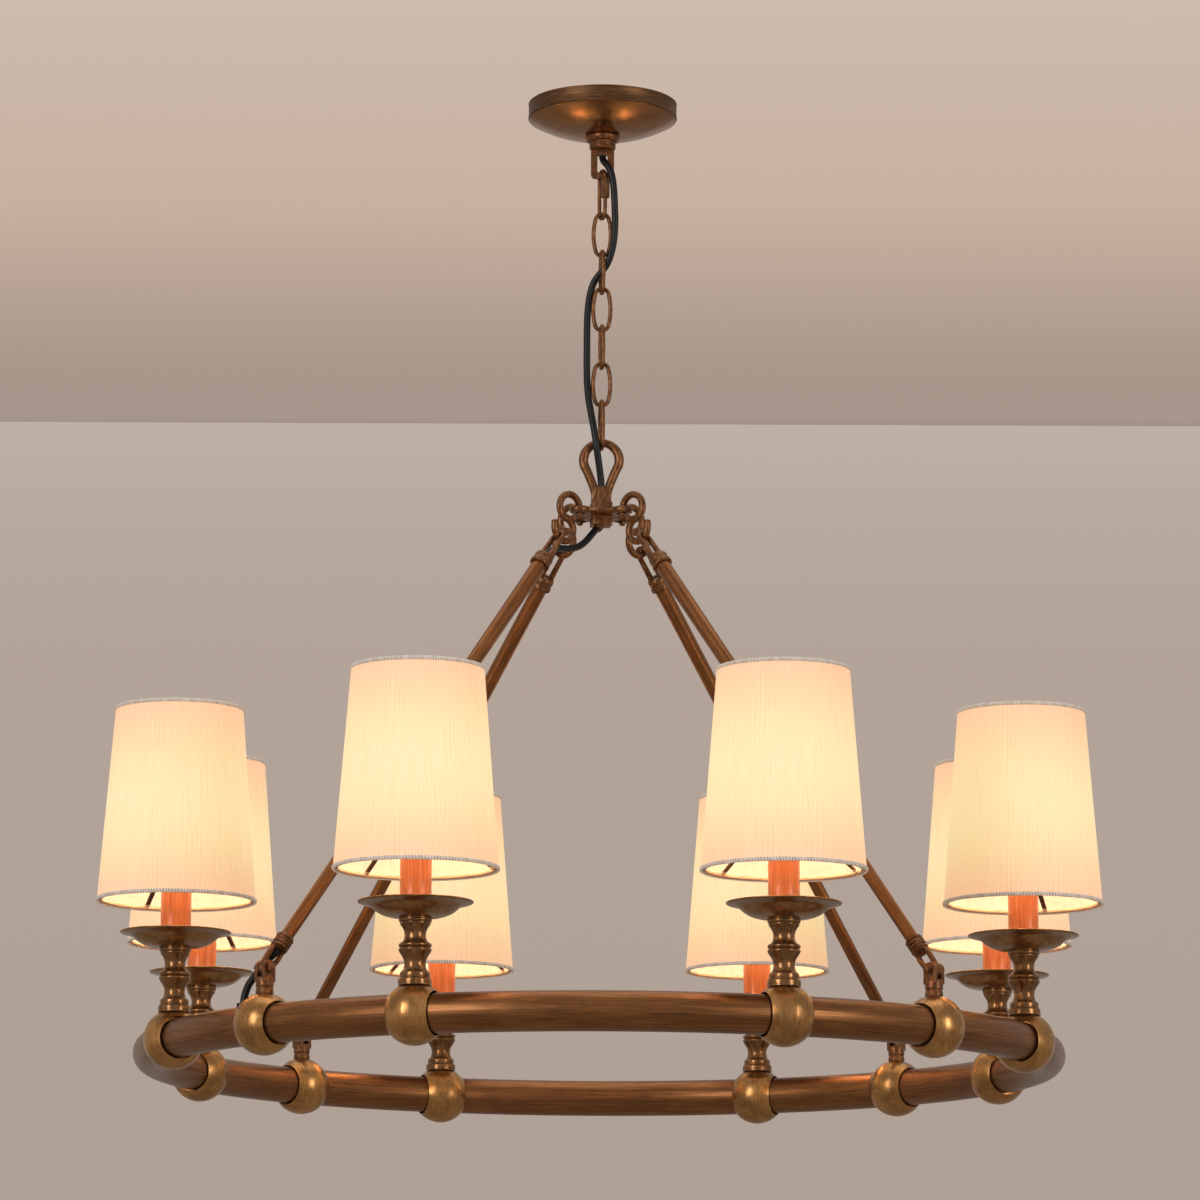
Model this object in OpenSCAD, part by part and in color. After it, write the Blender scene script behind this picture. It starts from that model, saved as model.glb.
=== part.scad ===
// Ring chandelier with eight shaded candle lamps, hung from the ceiling by an oval link chain.
// Origin: on the axis in the ceiling plane, which the crossbar and the canopy rim touch. +Z is up.
// Azimuths are measured from the front (-Y) towards +X.

/* [Ring] */
// Diameter of the circle that the ring tube's centre follows
ring_d = 755; // [700:5:820]
// Outside diameter of the ring tube
tube_d = 32; // [30:0.5:34]
// Wall of the ring tube
tube_wall = 2; // [1.5:0.1:3]
// Diameter of the balls on the ring
ball_d = 50; // [48:1:56]
// Width of the band inside a ball that grips the tube
ball_land = 16; // [12:1:20]
// Gap round the tube at the mouths of a ball
ball_mouth_gap = 1.6; // [1:0.1:2]

/* [Candles] */
// Height of a baluster from the ball's top to its drip pan
baluster_h = 52; // [48:1:60]
// Largest diameter of a baluster
baluster_d = 26.4; // [25:0.2:29]
// Diameter of a baluster's necks
neck_d = 17; // [15:0.5:19]
// Diameter of a drip pan
pan_d = 91.5; // [80:0.5:100]
// Depth of a drip pan
pan_h = 12.7; // [10:0.1:16]
// Thickness of the sheet that the drip pans are spun from
pan_wall = 1.2; // [0.8:0.1:2]
// Diameter of a candle sleeve
sleeve_d = 25; // [24.6:0.1:26]
// Wall of a candle sleeve
sleeve_wall = 0.8; // [0.6:0.1:1]
// Length of a candle sleeve
sleeve_h = 78; // [74:1:84]
// Diameter of the threaded stems and of the nipple in the canopy
stem_d = 10; // [9.5:0.1:10.5]
// Bore for the wires in the stems and in the nipple
stem_bore = 7; // [6:0.1:7.5]
// Diameter of a bulb's glass
bulb_d = 35; // [30:1:37]
// Length of a bulb's glass above its holder
bulb_h = 66; // [60:1:72]
// Diameter of a bulb's screw base
bulb_base_d = 13.8; // [13.6:0.1:14]

/* [Shades] */
// Diameter of a shade at its lower edge
shade_bottom_d = 131; // [125:1:137]
// Diameter of a shade at its upper edge
shade_top_d = 105.5; // [100:0.5:115]
// Height of a shade
shade_h = 162; // [150:1:175]
// Thickness of a shade's fabric and lining
shade_wall = 1; // [0.8:0.1:1.4]
// Height of a shade's lower edge above the drip pan's rim
shade_lift = 25; // [22:0.5:29]
// Diameter of the wire in a shade's rings
shade_wire = 3; // [2.5:0.1:3.5]
// Width of a shade's arms
arm_w = 4; // [3:0.5:5]
// Thickness of a shade's arms
arm_t = 1.6; // [1.2:0.1:2]

/* [Rods] */
// Height above the ring at which the lines of the four rods meet
apex_h = 506; // [490:1:520]
// Diameter of a rod at its lower end
rod_low_d = 10.6; // [10:0.1:12]
// Diameter of a rod at its upper end
rod_top_d = 13; // [12:0.1:14]
// Bore of a rod
rod_bore = 7; // [6.5:0.1:7.5]
// Diameter of the ferrule at the upper end of a rod
ferrule_d = 17.6; // [17:0.1:20]
// Length of the ferrule at the upper end of a rod
ferrule_h = 12; // [10:0.5:14]
// Diameter of the rings on the lower end of a rod
collar_d = 15; // [14.4:0.1:16]
// Distance from the clevis pin to the rings on the lower end of a rod
foot_gap = 22; // [21:0.5:25]
// Diameter of the wire in the eye at the top of a rod
eye_wire = 4.4; // [4:0.1:4.8]
// Distance between the two legs of that eye, centre to centre
eye_w = 12; // [11.8:0.1:13]
// Diameter of the clevis pins
pin_d = 5; // [4:0.1:5.4]
// Height of a clevis pin above the ring tube's centre
pin_h = 45; // [43.5:0.5:48]
// Diameter of a clevis base
clevis_d = 14.5; // [14:0.1:16]
// Thickness of the strap that hangs on a clevis pin
strap_t = 4.6; // [4:0.1:5]

/* [Hub] */
// Outside width of the hub's loop
loop_w = 37.8; // [36:0.1:42]
// Diameter of the bar that the hub's loop is made of
loop_wire = 7; // [6:0.1:7.6]
// Height from the plate to the top of the hub's loop
loop_h = 66.5; // [62:0.5:72]
// Diameter of the hub's body
hub_d = 18; // [17:0.1:20]
// Thickness of the hub's plate
plate_t = 4; // [3:0.1:5]
// Distance of the hook holes from the axis
hole_r = 25; // [24:0.1:27]
// Diameter of the hook holes
hole_d = 9; // [8.6:0.1:9.6]
// Diameter of the wire in the S hooks
hook_wire = 6; // [5.4:0.1:6.4]
// Radius of the upper bend of an S hook
hook_top_r = 12; // [11:0.1:13]
// Radius of the lower bend of an S hook
hook_low_r = 11; // [10:0.1:11.6]
// Distance from the axis to the middle of an S hook's lower bend
hook_low_u = 45; // [44:0.1:46]

/* [Chain] */
// Outside length of a chain link
link_l = 40.9; // [39:0.1:44]
// Outside width of a chain link
link_w = 18.6; // [17.6:0.1:20]
// Diameter of the wire in a chain link
link_wire = 3.6; // [3:0.1:4]
// Outside length of the last link
last_l = 46.2; // [45:0.1:50]
// How far the links that are seen edge-on are turned
link_turn = 10; // [0:1:14]
// Outside length of the quick link
quick_l = 46.2; // [44:0.1:50]
// Outside width of the quick link
quick_w = 14; // [13.4:0.1:15]
// Diameter of the wire in the quick link
quick_wire = 3.4; // [3:0.1:3.8]
// How far the quick link is turned
quick_turn = 28; // [20:1:32]
// Diameter of the quick link's sleeve nut
nut_d = 7.6; // [7:0.1:8]
// Length of the quick link's sleeve nut
nut_l = 18; // [16:0.5:19]

/* [Canopy] */
// Diameter of the canopy
canopy_d = 130; // [124:1:150]
// Height of the canopy's rim
canopy_rim = 13; // [11:0.5:16]
// Depth of the canopy's dome
canopy_dome = 15; // [13:0.5:18]
// Thickness of the canopy's sheet
canopy_wall = 1.2; // [0.8:0.1:1.6]
// Diameter of the ring nut that holds the canopy up
ringnut_d = 30; // [28.6:0.1:32]
// Height of that ring nut
ringnut_h = 6; // [5:0.1:8]
// Diameter of the loop's threaded barrel
barrel_d = 23.3; // [22:0.1:24]
// Height of the barrel that shows under the ring nut
barrel_show = 7; // [5:0.1:9]
// Outside width of the loop under the canopy
stirrup_w = 20.4; // [19.6:0.1:22]
// Height of that loop
stirrup_h = 26; // [24:0.1:29]
// Width of the slot in that loop
slot_w = 8.8; // [8.4:0.1:9.4]
// Diameter of the loop's lower bar, and the thickness of its legs
bar_d = 5; // [4.4:0.1:5.6]

/* [Ceiling plate] */
// Length of the crossbar
crossbar_l = 100; // [96:1:116]
// Width of the crossbar
crossbar_w = 14; // [13:0.5:18]
// Thickness of the crossbar
crossbar_t = 3; // [2:0.1:4]
// Distance between the two slots for the ceiling screws
slot_pitch = 76; // [74:1:80]
// Length of a slot for a ceiling screw
slot_l = 14; // [10:0.5:15]
// Width of a slot for a ceiling screw
screw_slot_w = 4.6; // [4:0.1:5.2]

/* [Cord] */
// Diameter of the cord
cord_d = 6; // [5:0.5:6]

/* [Hidden] */
$fn = 48;

// Clearances
gap = 0.3; // between pieces that move on each other
fit = 0.05; // between pieces that are screwed or pushed together
eps = 0.01;
deep = 100; // length of a cut that goes right through

// Colours
bronze = [0.36, 0.22, 0.13];
rust = [0.44, 0.25, 0.14];
gold = [0.62, 0.45, 0.22];
copper = [0.78, 0.36, 0.16];
fabric = [0.96, 0.88, 0.76];

// Counts and rows of azimuths
candles = 8;
links = 6;
candle_az = [for (i = [0:candles - 1]) (i + 0.5) * 360 / candles];
rod_az = [45, 135, 225, 315];
cord_az = 315;
ring_r = ring_d / 2;
tube_r = tube_d / 2;
ball_r = ball_d / 2;

// Heights of the canopy's pieces
canopy_low = -canopy_rim - canopy_dome;
barrel_r = barrel_d / 2;
barrel_top = canopy_low + 8;
barrel_low = canopy_low - ringnut_h - barrel_show;
stirrup_low = barrel_low - stirrup_h;
bar_z = stirrup_low + bar_d / 2;
slot_top = barrel_low - 5;
nipple_low = barrel_low + 1;

// Heights of the chain: each piece hangs on the one above with the running gap between their wires
quick_top = bar_z + bar_d / 2 + gap + quick_wire;
quick_low_z = quick_top - quick_l + quick_wire / 2;
link_step = link_l - 2 * link_wire - gap;
link_1_top = quick_low_z + quick_wire / 2 + gap + link_wire;
last_top = link_1_top - (links - 1) * link_step;
last_low_z = last_top - last_l + link_wire / 2;
hub_top = last_low_z + link_wire / 2 + gap + loop_wire;
quick_end_r = (quick_w - quick_wire) / 2;
nut_z = quick_top - quick_wire / 2 - quick_end_r - 2 - nut_l / 2;

// Heights of the hub
plate_z = hub_top - loop_h;
loop_r = (loop_w - loop_wire) / 2;
loop_z = hub_top - loop_wire / 2 - loop_r;
body_under = 11; // how far the body reaches below the plate
body_over = 13.5; // how far it reaches above it
mouth_over = 23.7; // height of the cord's mouth above the plate
leg_u = 4.6; // where a leg of the loop ends, from the axis
apex_over = 36; // height above the plate at which the rods' lines meet
hub_low = plate_z - body_under;
hub_shoulder = plate_z + body_over;
hub_mouth = plate_z + mouth_over;
gland_z = hub_low + 3; // where the cord's slanting way out leaves the axis
gland_u = 5.5; // distance of the gland's face from the axis
gland_l = gland_u * sqrt(2);
gland_r = 4.4;
apex_z = plate_z + apex_over;

// The rods' lines run from the apex to the clevis pins
ring_z = apex_z - apex_h;
pin_z = ring_z + pin_h;
rod_slope = atan((apex_z - pin_z) / ring_r);
hook_low_z = apex_z - hook_low_u * tan(rod_slope);
hook_wire_u = hole_r + hole_d / 2 - hook_wire / 2 - gap - 0.2;
hook_out_u = hook_wire_u + 2 * hook_top_r;
hook_in_u = hook_low_u - hook_low_r;
hook_tail = 4.5;
// Distances along a rod, from its clevis pin up
hook_s = (ring_r - hook_low_u) / cos(rod_slope) - hook_low_r;
eye_r = eye_w / 2;
eye_s = hook_s + hook_wire / 2 + gap + eye_wire / 2 - eye_r;
rod_top_u = 67.1; // distance from the axis to the end of a rod's ferrule
rod_top_s = (ring_r - rod_top_u) / cos(rod_slope);
ferrule_s = rod_top_s - ferrule_h;
collar_h = 13;
strap_r = pin_d / 2 + 3.6;
strap_wall = 2.8;
prong_t = 3.4;
prong_r = 6.4;
stud_d = 6;

// Heights of a candle, above the ring tube's centre
ball_flat = ball_r - 1.5;
pan_z = ball_flat + baluster_h;
pan_rim_z = pan_z + pan_h;
sleeve_low = pan_z + pan_wall;
sleeve_top = sleeve_low + sleeve_h;
flange_t = 1.7;
flange_z = sleeve_top + flange_t;
holder_h = 58; // length of a lampholder inside its sleeve
holder_low = sleeve_top - holder_h;
flange_over = 0.6; // how far the flange stands out past the sleeve
neck_r = 10;
holder_neck_h = 11.3;
holder_top = flange_z + holder_neck_h;
stem_in = 10; // how far a stem goes into its lampholder
stem_low = tube_r - tube_wall - 5;
stem_top = holder_low + stem_in;
socket_r = bulb_base_d / 2 + gap;
bulb_base_h = 26;
bulb_base_low = holder_top - bulb_base_h;
frame_t = 1.6;
frame_z = flange_z + gap;
nut_ring_low = frame_z + frame_t + gap;
nut_ring_h = 4;
nut_ring_over = 3.4; // how far the clamping ring stands out past the neck
shade_low = pan_rim_z + shade_lift;
shade_top = shade_low + shade_h;

// Routes of the cord's free stretches: round points, from the upper end to the lower one
cord_r = cord_d / 2;
cord_sides = 10;
wire_sides = 10;
mouth_r = 2.5;
chain_route = [
    [0, 0, -46], [0.1, -0.2, -48.5], [0.9, -2.2, -51.2], [2.4, -5, -54], [4.8, -7.2, -57.5],
    [7.3, -8.6, -63], [8.9, -9.2, -69.5],
    [10.2, -9, -81], [10.9, -8, -95], [11.2, -7, -109], [10.3, -6, -123], [8.2, -4.8, -134],
    [4.8, -3, -143.5], [0.6, -1, -149.5], [-3.6, 0.8, -154.5], [-7.2, 2, -160], [-9.9, 2.8, -168],
    [-11.6, 3.4, -178], [-12.6, 3, -190], [-12.9, 2.4, -205], [-12.9, 2.2, -220],
    [-12.9, 1.6, -235], [-12.5, 0.4, -250], [-11.3, -1.6, -264], [-9.2, -4, -277],
    [-7.1, -6.2, -288.5], [-5.4, -7.3, -299], [-3.9, -6.9, -310], [-2.2, -4.2, -321.5],
    [-0.7, -1.3, -332.4], [-0.1, -0.2, -338.4], [0, 0, -341.3], [0, 0, -342.3]
];
// This one runs in the plane of the front left rod: outwards, sideways, up
hub_route = [
    [5.5, 0, -379.5], [7, 0, -381], [10, 0, -384], [13.2, 0, -387.2], [16.5, 0, -390.5],
    [20.2, 0, -393.7], [24.2, 0, -396.5], [28.5, 0, -398.8], [33.1, 0, -400.5], [37.2, 0, -401.5],
    [41, 0, -402.1], [45.2, 0, -402.5], [48.6, 0, -402.9], [51.8, 0, -403.4], [55.3, 0, -404.3],
    [59.1, 0, -405.9], [62.6, 0, -407.9], [65.1, 0, -409.8], [67.1, 0, -411.8]
];
// The last one starts on the rod's line and is measured from its clevis pin
foot_bend = [
    [-9.4, -2, 11.1], [-7.8, -5.2, 8.4], [-6.6, -9, 4.8], [-5.9, -12.6, 0.4], [-5.3, -14.3, -1.8],
    [-4.3, -17, -4.8], [-3.4, -19.6, -7.9], [-2.5, -21.9, -11.2], [-1.9, -23.7, -14.8],
    [-1.4, -25, -18.5], [-1, -25.9, -22.4], [-0.9, -26.3, -25.4], [-0.9, -26.3, -26.4]
];
foot_route = concat(
    [for (along = [foot_gap - 2, foot_gap - 4.3])
        [ring_r - along * cos(rod_slope), 0, pin_z + along * sin(rod_slope)]],
    [for (p = foot_bend) [ring_r + p[0], p[1], pin_z + p[2]]]
);
grommet_az = cord_az - 4;
grommet_r = 5.6;
grommet_top = tube_r + 2.6;

// Turns the local frame so that +X points outwards at an azimuth and +Y sideways
module at_azimuth(a) {
    rotate([0, 0, a - 90]) children();
}

// Puts the local origin on the ring tube's centre line at an azimuth
module on_ring(a) {
    at_azimuth(a) translate([ring_r, 0, ring_z]) children();
}

// Puts the local origin on the clevis pin at an azimuth, with +Z up along the rod
module along_rod(a) {
    at_azimuth(a) translate([ring_r, 0, pin_z]) rotate([0, rod_slope - 90, 0]) children();
}

// A pipe of a given height, standing on the local origin
module pipe(r, bore_r, h) {
    difference() {
        cylinder(r = r, h = h);
        translate([0, 0, -1]) cylinder(r = bore_r, h = h + 2);
    }
}

// A bent round bar in the XZ plane, from one angle (measured from +X towards +Z) through a sweep
module bend(r, wire, from, sweep) {
    rotate([90, 0, 0]) rotate([0, 0, from])
        rotate_extrude(angle = sweep, $fn = 96) translate([r, 0]) circle(d = wire, $fn = 24);
}

// A short solid stretch of the ring tube, for a local origin on its centre line
module tube_stretch(r) {
    translate([-ring_r, 0, 0]) rotate([0, 0, -6])
        rotate_extrude(angle = 12, $fn = 360) translate([ring_r, 0]) circle(r = r);
}

// Points on an arc in the XZ plane, from one angle (from +X towards +Z) to another
function arc(centre, r, from, to, steps) = [
    for (k = [0:steps]) let (a = from + (to - from) * k / steps)
        [centre[0] + r * cos(a), 0, centre[1] + r * sin(a)]
];
// The same points without the first one, for a run that starts where another ends
function tail_of(p) = [for (i = [1:len(p) - 1]) p[i]];

// Unit tangent of a route at one of its points
function unit(v) = v / norm(v);
function tangent(p, i, closed) = let (n = len(p)) unit(closed
    ? p[(i + 1) % n] - p[(i + n - 1) % n]
    : p[min(i + 1, n - 1)] - p[max(i - 1, 0)]);
// A side vector at each point, carried along the route without twisting
function carried(n, t) = unit(n - (n * t) * t);
function sides(p, first, closed) = [
    for (i = 0, n = carried(first, tangent(p, 0, closed));
        i < len(p);
        i = i + 1, n = i < len(p) ? carried(n, tangent(p, i, closed)) : n) n
];

// A round bar or tube along a route of points, as one closed mesh; a closed route joins its ends
module tube_along(p, r, count, closed = false) {
    n = sides(p, closed ? [0, 1, 0] : [0.1, 1, 0.3], closed);
    total = len(p);
    rings = [
        for (i = [0:total - 1]) let (t = tangent(p, i, closed), m = cross(t, n[i]))
            for (k = [0:count - 1])
                p[i] + r * (cos(360 * k / count) * n[i] + sin(360 * k / count) * m)
    ];
    last = (total - 1) * count;
    spans = closed ? total - 1 : total - 2;
    ends = closed ? [] : concat(
        [for (k = [1:count - 2]) [0, k, k + 1]],
        [for (k = [1:count - 2]) [last, last + k + 1, last + k]]
    );
    walls = [
        for (i = [0:spans], k = [0:count - 1], half = [0, 1]) let (
            a = i * count + k,
            b = i * count + (k + 1) % count,
            c = (i + 1) % total * count + k,
            d = (i + 1) % total * count + (k + 1) % count
        ) half == 0 ? [a, c, b] : [b, c, d]
    ];
    polyhedron(points = rings, faces = concat(ends, walls), convexity = 6);
}

// A closed oval of round wire in the XZ plane, its outermost point at the local origin: two tight
// end bends and two wide side bends that turn through twice the given angle
module oval_ring(length, width, wire, side_a) {
    a = (length - wire) / 2;
    b = (width - wire) / 2;
    end_r = (b - a * tan(side_a / 2)) / (cos(side_a) - (1 - sin(side_a)) * tan(side_a / 2));
    side_r = (a - end_r * (1 - sin(side_a))) / sin(side_a);
    half = concat(
        arc([0, a - end_r], end_r, side_a, 180 - side_a, 8),
        tail_of(arc([side_r - b, 0], side_r, 180 - side_a, 180 + side_a, 5))
    );
    round_trip = concat(
        [for (i = [0:len(half) - 2]) half[i]],
        [for (i = [0:len(half) - 2]) -half[i]]
    );
    translate([0, 0, -length / 2]) tube_along(round_trip, wire / 2, wire_sides, true);
}

// Flat bar under the ceiling with two slots for its screws and a threaded hole for the nipple
module crossbar() {
    color("silver") difference() {
        translate([-crossbar_l / 2, -crossbar_w / 2, -crossbar_t])
            cube([crossbar_l, crossbar_w, crossbar_t]);
        translate([0, 0, -deep / 2]) cylinder(d = stem_d + 2 * fit, h = deep);
        for (x = [-slot_pitch / 2, slot_pitch / 2]) translate([x, 0, -deep / 2]) {
            for (s = [-1, 1]) translate([s * (slot_l - screw_slot_w) / 2, 0, 0])
                cylinder(d = screw_slot_w, h = deep);
            translate([-(slot_l - screw_slot_w) / 2, -screw_slot_w / 2, 0])
                cube([slot_l - screw_slot_w, screw_slot_w, deep]);
        }
    }
}

// Three-way terminal block on the crossbar's underside
module terminal_block() {
    block_l = 14;
    block_h = 11;
    color("ivory") translate([stem_d / 2 + 4, 0, -crossbar_t - block_h]) difference() {
        translate([0, -crossbar_w / 2, 0]) cube([block_l, crossbar_w, block_h]);
        for (y = [-4.4, 0, 4.4]) translate([-1, y, block_h / 3]) rotate([0, 90, 0])
            cylinder(d = 2.6, h = block_l + 2);
    }
}

// Threaded tube from the crossbar down into the loop's barrel; the supply wires pass through it
module nipple() {
    color("goldenrod") translate([0, 0, nipple_low])
        pipe(stem_d / 2, stem_bore / 2, -nipple_low - 0.5);
}

// Threaded barrel with the loop that the chain hangs on
module stirrup_loop() {
    leg_w = (stirrup_w - slot_w) / 2;
    corner = 4;
    color(rust) difference() {
        union() {
            translate([0, 0, barrel_low]) cylinder(r = barrel_r, h = barrel_top - barrel_low);
            translate([-stirrup_w / 2, -bar_d / 2, slot_top]) cube([stirrup_w, bar_d, 6]);
            for (s = [-1, 1]) translate([s * (slot_w / 2 + leg_w / 2), 0, stirrup_low])
                translate([-leg_w / 2, -bar_d / 2, 0]) cube([leg_w, bar_d, stirrup_h]);
            translate([-slot_w / 2 - 1, 0, bar_z]) rotate([0, 90, 0])
                cylinder(d = bar_d, h = slot_w + 2);
        }
        for (s = [0, 1]) mirror([s, 0, 0])
            translate([stirrup_w / 2 - corner, 0, stirrup_low + corner]) difference() {
                translate([0, -deep / 2, -corner - 1]) cube([corner + 1, deep, corner + 1]);
                rotate([90, 0, 0]) cylinder(r = corner, h = deep + 2, center = true);
            }
        translate([0, 0, nipple_low]) cylinder(d = stem_d + 2 * fit, h = deep);
        translate([0, 0, slot_top - 1]) cylinder(r = mouth_r, h = deep);
    }
}

// Spun canopy: a straight rim and a shallow dome with a flat round its hole
module canopy_cover() {
    flat_r = ringnut_d / 2 + 1;
    rim_r = canopy_d / 2;
    steps = 8;
    bow = 2.4; // how far the dome stands out from a straight cone
    outer = [for (i = [0:steps]) let (k = i / steps)
        [rim_r + (flat_r - rim_r) * k, -canopy_rim - canopy_dome * k - bow * sin(180 * k)]];
    inner = [for (i = [steps:-1:0]) outer[i] + [0, canopy_wall]];
    hole = barrel_r + gap;
    color(bronze) rotate_extrude($fn = 96) {
        polygon(concat(
            [[rim_r, 0]], outer, [[hole, canopy_low], [hole, canopy_low + canopy_wall]],
            [for (i = [0:steps - 1]) inner[i]],
            [[rim_r - canopy_wall, -canopy_rim + canopy_wall], [rim_r - canopy_wall, 0]]
        ));
    }
}

// Ring nut on the barrel that presses the canopy against the ceiling
module ring_nut() {
    lip = 2;
    color(rust) translate([0, 0, canopy_low - ringnut_h]) difference() {
        union() {
            translate([0, 0, lip]) cylinder(d = ringnut_d, h = ringnut_h - lip);
            cylinder(d1 = ringnut_d - 2 * lip, d2 = ringnut_d, h = lip);
        }
        translate([0, 0, -1]) cylinder(r = barrel_r + gap, h = ringnut_h + 2);
    }
}

// Quick link: an oval of wire, turned between the loop and the first chain link
module quick_link() {
    color(rust) translate([0, 0, quick_top]) rotate([0, 0, -90 + quick_turn])
        oval_ring(quick_l, quick_w, quick_wire, 2);
}

// Sleeve nut that closes the quick link, on its front side
module quick_link_nut() {
    color(rust) rotate([0, 0, -90 + quick_turn]) translate([quick_end_r, 0, nut_z - nut_l / 2])
        difference() {
            cylinder(d = nut_d, h = nut_l, $fn = 6);
            translate([0, 0, -1]) cylinder(d = quick_wire + 2 * gap, h = nut_l + 2);
        }
}

// Chain link number i, counted from the top; odd ones face the front
module link(i) {
    face_on = i % 2 == 1;
    length = i == links ? last_l : link_l;
    color(rust) translate([0, 0, link_1_top - (i - 1) * link_step])
        rotate([0, 0, face_on ? 0 : 90 + link_turn])
            oval_ring(length, link_w, link_wire, 14);
}

// Puts +Z along the cord's way out of the hub: outwards and down by 45 degrees
module cord_gland_line() {
    at_azimuth(cord_az) translate([0, 0, gland_z]) rotate([0, 135, 0]) children();
}

// Hub: the loop on top, the drilled body and the plate with a hole for each S hook
module hub() {
    reach = norm([loop_z - hub_shoulder, leg_u]);
    // The legs leave the loop's bend where they are tangent to it
    tilt = acos(loop_r / reach) + atan((loop_z - hub_shoulder) / leg_u) - 180;
    leg_l = sqrt(reach * reach - loop_r * loop_r);
    lobe_r = 8.5;
    color(rust) difference() {
        union() {
            translate([0, 0, loop_z]) bend(loop_r, loop_wire, tilt, 180 - 2 * tilt);
            for (s = [0, 1]) mirror([s, 0, 0]) translate([leg_u, 0, hub_shoulder])
                rotate([0, 90 - atan2(loop_r * sin(tilt) + loop_z - hub_shoulder,
                    loop_r * cos(tilt) - leg_u), 0]) cylinder(d = loop_wire, h = leg_l);
            translate([0, 0, hub_shoulder - 8]) cylinder(d1 = hub_d, d2 = hub_d - 5, h = 14);
            translate([0, 0, hub_shoulder]) cylinder(r = 4.6, h = hub_mouth - hub_shoulder);
            translate([0, 0, hub_low]) cylinder(d = hub_d, h = hub_shoulder - hub_low - 8);
            cord_gland_line() cylinder(r = gland_r, h = gland_l);
            translate([0, 0, plate_z - plate_t / 2]) cylinder(r = hole_r - 1, h = plate_t);
            for (a = rod_az) at_azimuth(a) translate([hole_r + 1.5, 0, plate_z - plate_t / 2])
                cylinder(r = lobe_r, h = plate_t);
        }
        for (a = rod_az) at_azimuth(a) translate([hole_r, 0, plate_z - deep / 2])
            cylinder(d = hole_d, h = deep);
        translate([0, 0, gland_z - 1]) cylinder(r = mouth_r, h = hub_mouth - gland_z + 2);
        cord_gland_line() cylinder(r = mouth_r, h = gland_l + 1);
    }
}

// S hook number i: a stub through the plate, a bend over its edge, a double curve inwards,
// a bend under the rod's eye and a stub that stands up
module s_hook(i) {
    drop_z = plate_z - hook_low_z;
    shift = hook_out_u - hook_in_u;
    curve_a = 2 * atan(shift / drop_z);
    curve_r = drop_z / (2 * sin(curve_a));
    stub = [0, 0, hook_tail];
    upper = arc([hook_wire_u + hook_top_r, plate_z], hook_top_r, 180, 0, 10);
    lower = arc([hook_low_u, hook_low_z], hook_low_r, 180, 360, 10);
    path = concat(
        [upper[0] - stub], upper,
        tail_of(arc([hook_out_u - curve_r, plate_z], curve_r, 0, -curve_a, 4)),
        tail_of(arc([hook_in_u + curve_r, hook_low_z], curve_r, 180 - curve_a, 180, 4)),
        tail_of(lower), [lower[10] + stub]
    );
    color(rust) at_azimuth(rod_az[i - 1]) tube_along(path, hook_wire / 2, wire_sides);
}

// The four tapered rods, hollow for the cord
module rods() {
    color(bronze) for (a = rod_az) along_rod(a) difference() {
        translate([0, 0, foot_gap]) cylinder(d1 = rod_low_d, d2 = rod_top_d, h = rod_top_s - 2 - foot_gap);
        translate([0, 0, foot_gap - 1]) cylinder(d = rod_bore, h = rod_top_s - foot_gap);
    }
}

// Fittings on the rods: above, a ferrule with a long eye for the S hook; below, a ringed collar
// with an open strap for the clevis pin
module rod_ends() {
    rod_slim = (rod_top_d - rod_low_d) / (rod_top_s - 2 - foot_gap);
    for (a = rod_az) along_rod(a) {
        color(bronze) difference() {
            union() {
                translate([0, 0, ferrule_s]) cylinder(d = ferrule_d, h = 4);
                translate([0, 0, ferrule_s + 4 - eps]) cylinder(d = ferrule_d - 1, h = ferrule_h - 6);
                translate([0, 0, rod_top_s - 2 - 2 * eps])
                    cylinder(d1 = ferrule_d - 1, d2 = ferrule_d - 4, h = 2 + 2 * eps);
                for (s = [-1, 1]) translate([0, s * eye_r, rod_top_s - 3])
                    cylinder(d = eye_wire, h = eye_s - rod_top_s + 3, $fn = 24);
                translate([0, 0, eye_s]) rotate([0, 0, 90]) bend(eye_r, eye_wire, 0, 180);
            }
            translate([0, 0, ferrule_s - 1]) cylinder(d = rod_top_d + 2 * fit, h = ferrule_h - 1);
            translate([0, 0, ferrule_s]) cylinder(r = mouth_r, h = ferrule_h + 1);
        }
        color(bronze) {
            rotate_extrude() collar_outline(rod_slim / 2);
            translate([0, strap_t / 2, 0]) rotate([90, 0, 0]) linear_extrude(strap_t) strap_outline();
        }
    }
}

// Outline of the ringed collar: a floor with the cord's mouth, and a wall round the rod
module collar_outline(flare) {
    floor_t = 2;
    bead_r = 1.5;
    bead_step = 3.2;
    bore_r = rod_low_d / 2 + fit;
    difference() {
        union() {
            translate([0, foot_gap - floor_t]) square([collar_d / 2 - 0.9, collar_h + floor_t]);
            for (k = [0:3]) translate([collar_d / 2 - bead_r, foot_gap + bead_r + bead_step * k])
                circle(r = bead_r, $fn = 24);
        }
        translate([-1, foot_gap - floor_t - 1]) square([1 + mouth_r, floor_t + 2]);
        polygon([
            [-1, foot_gap], [bore_r, foot_gap],
            [bore_r + flare * 2 * collar_h, foot_gap + 2 * collar_h], [-1, foot_gap + 2 * collar_h]
        ]);
    }
}

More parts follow.
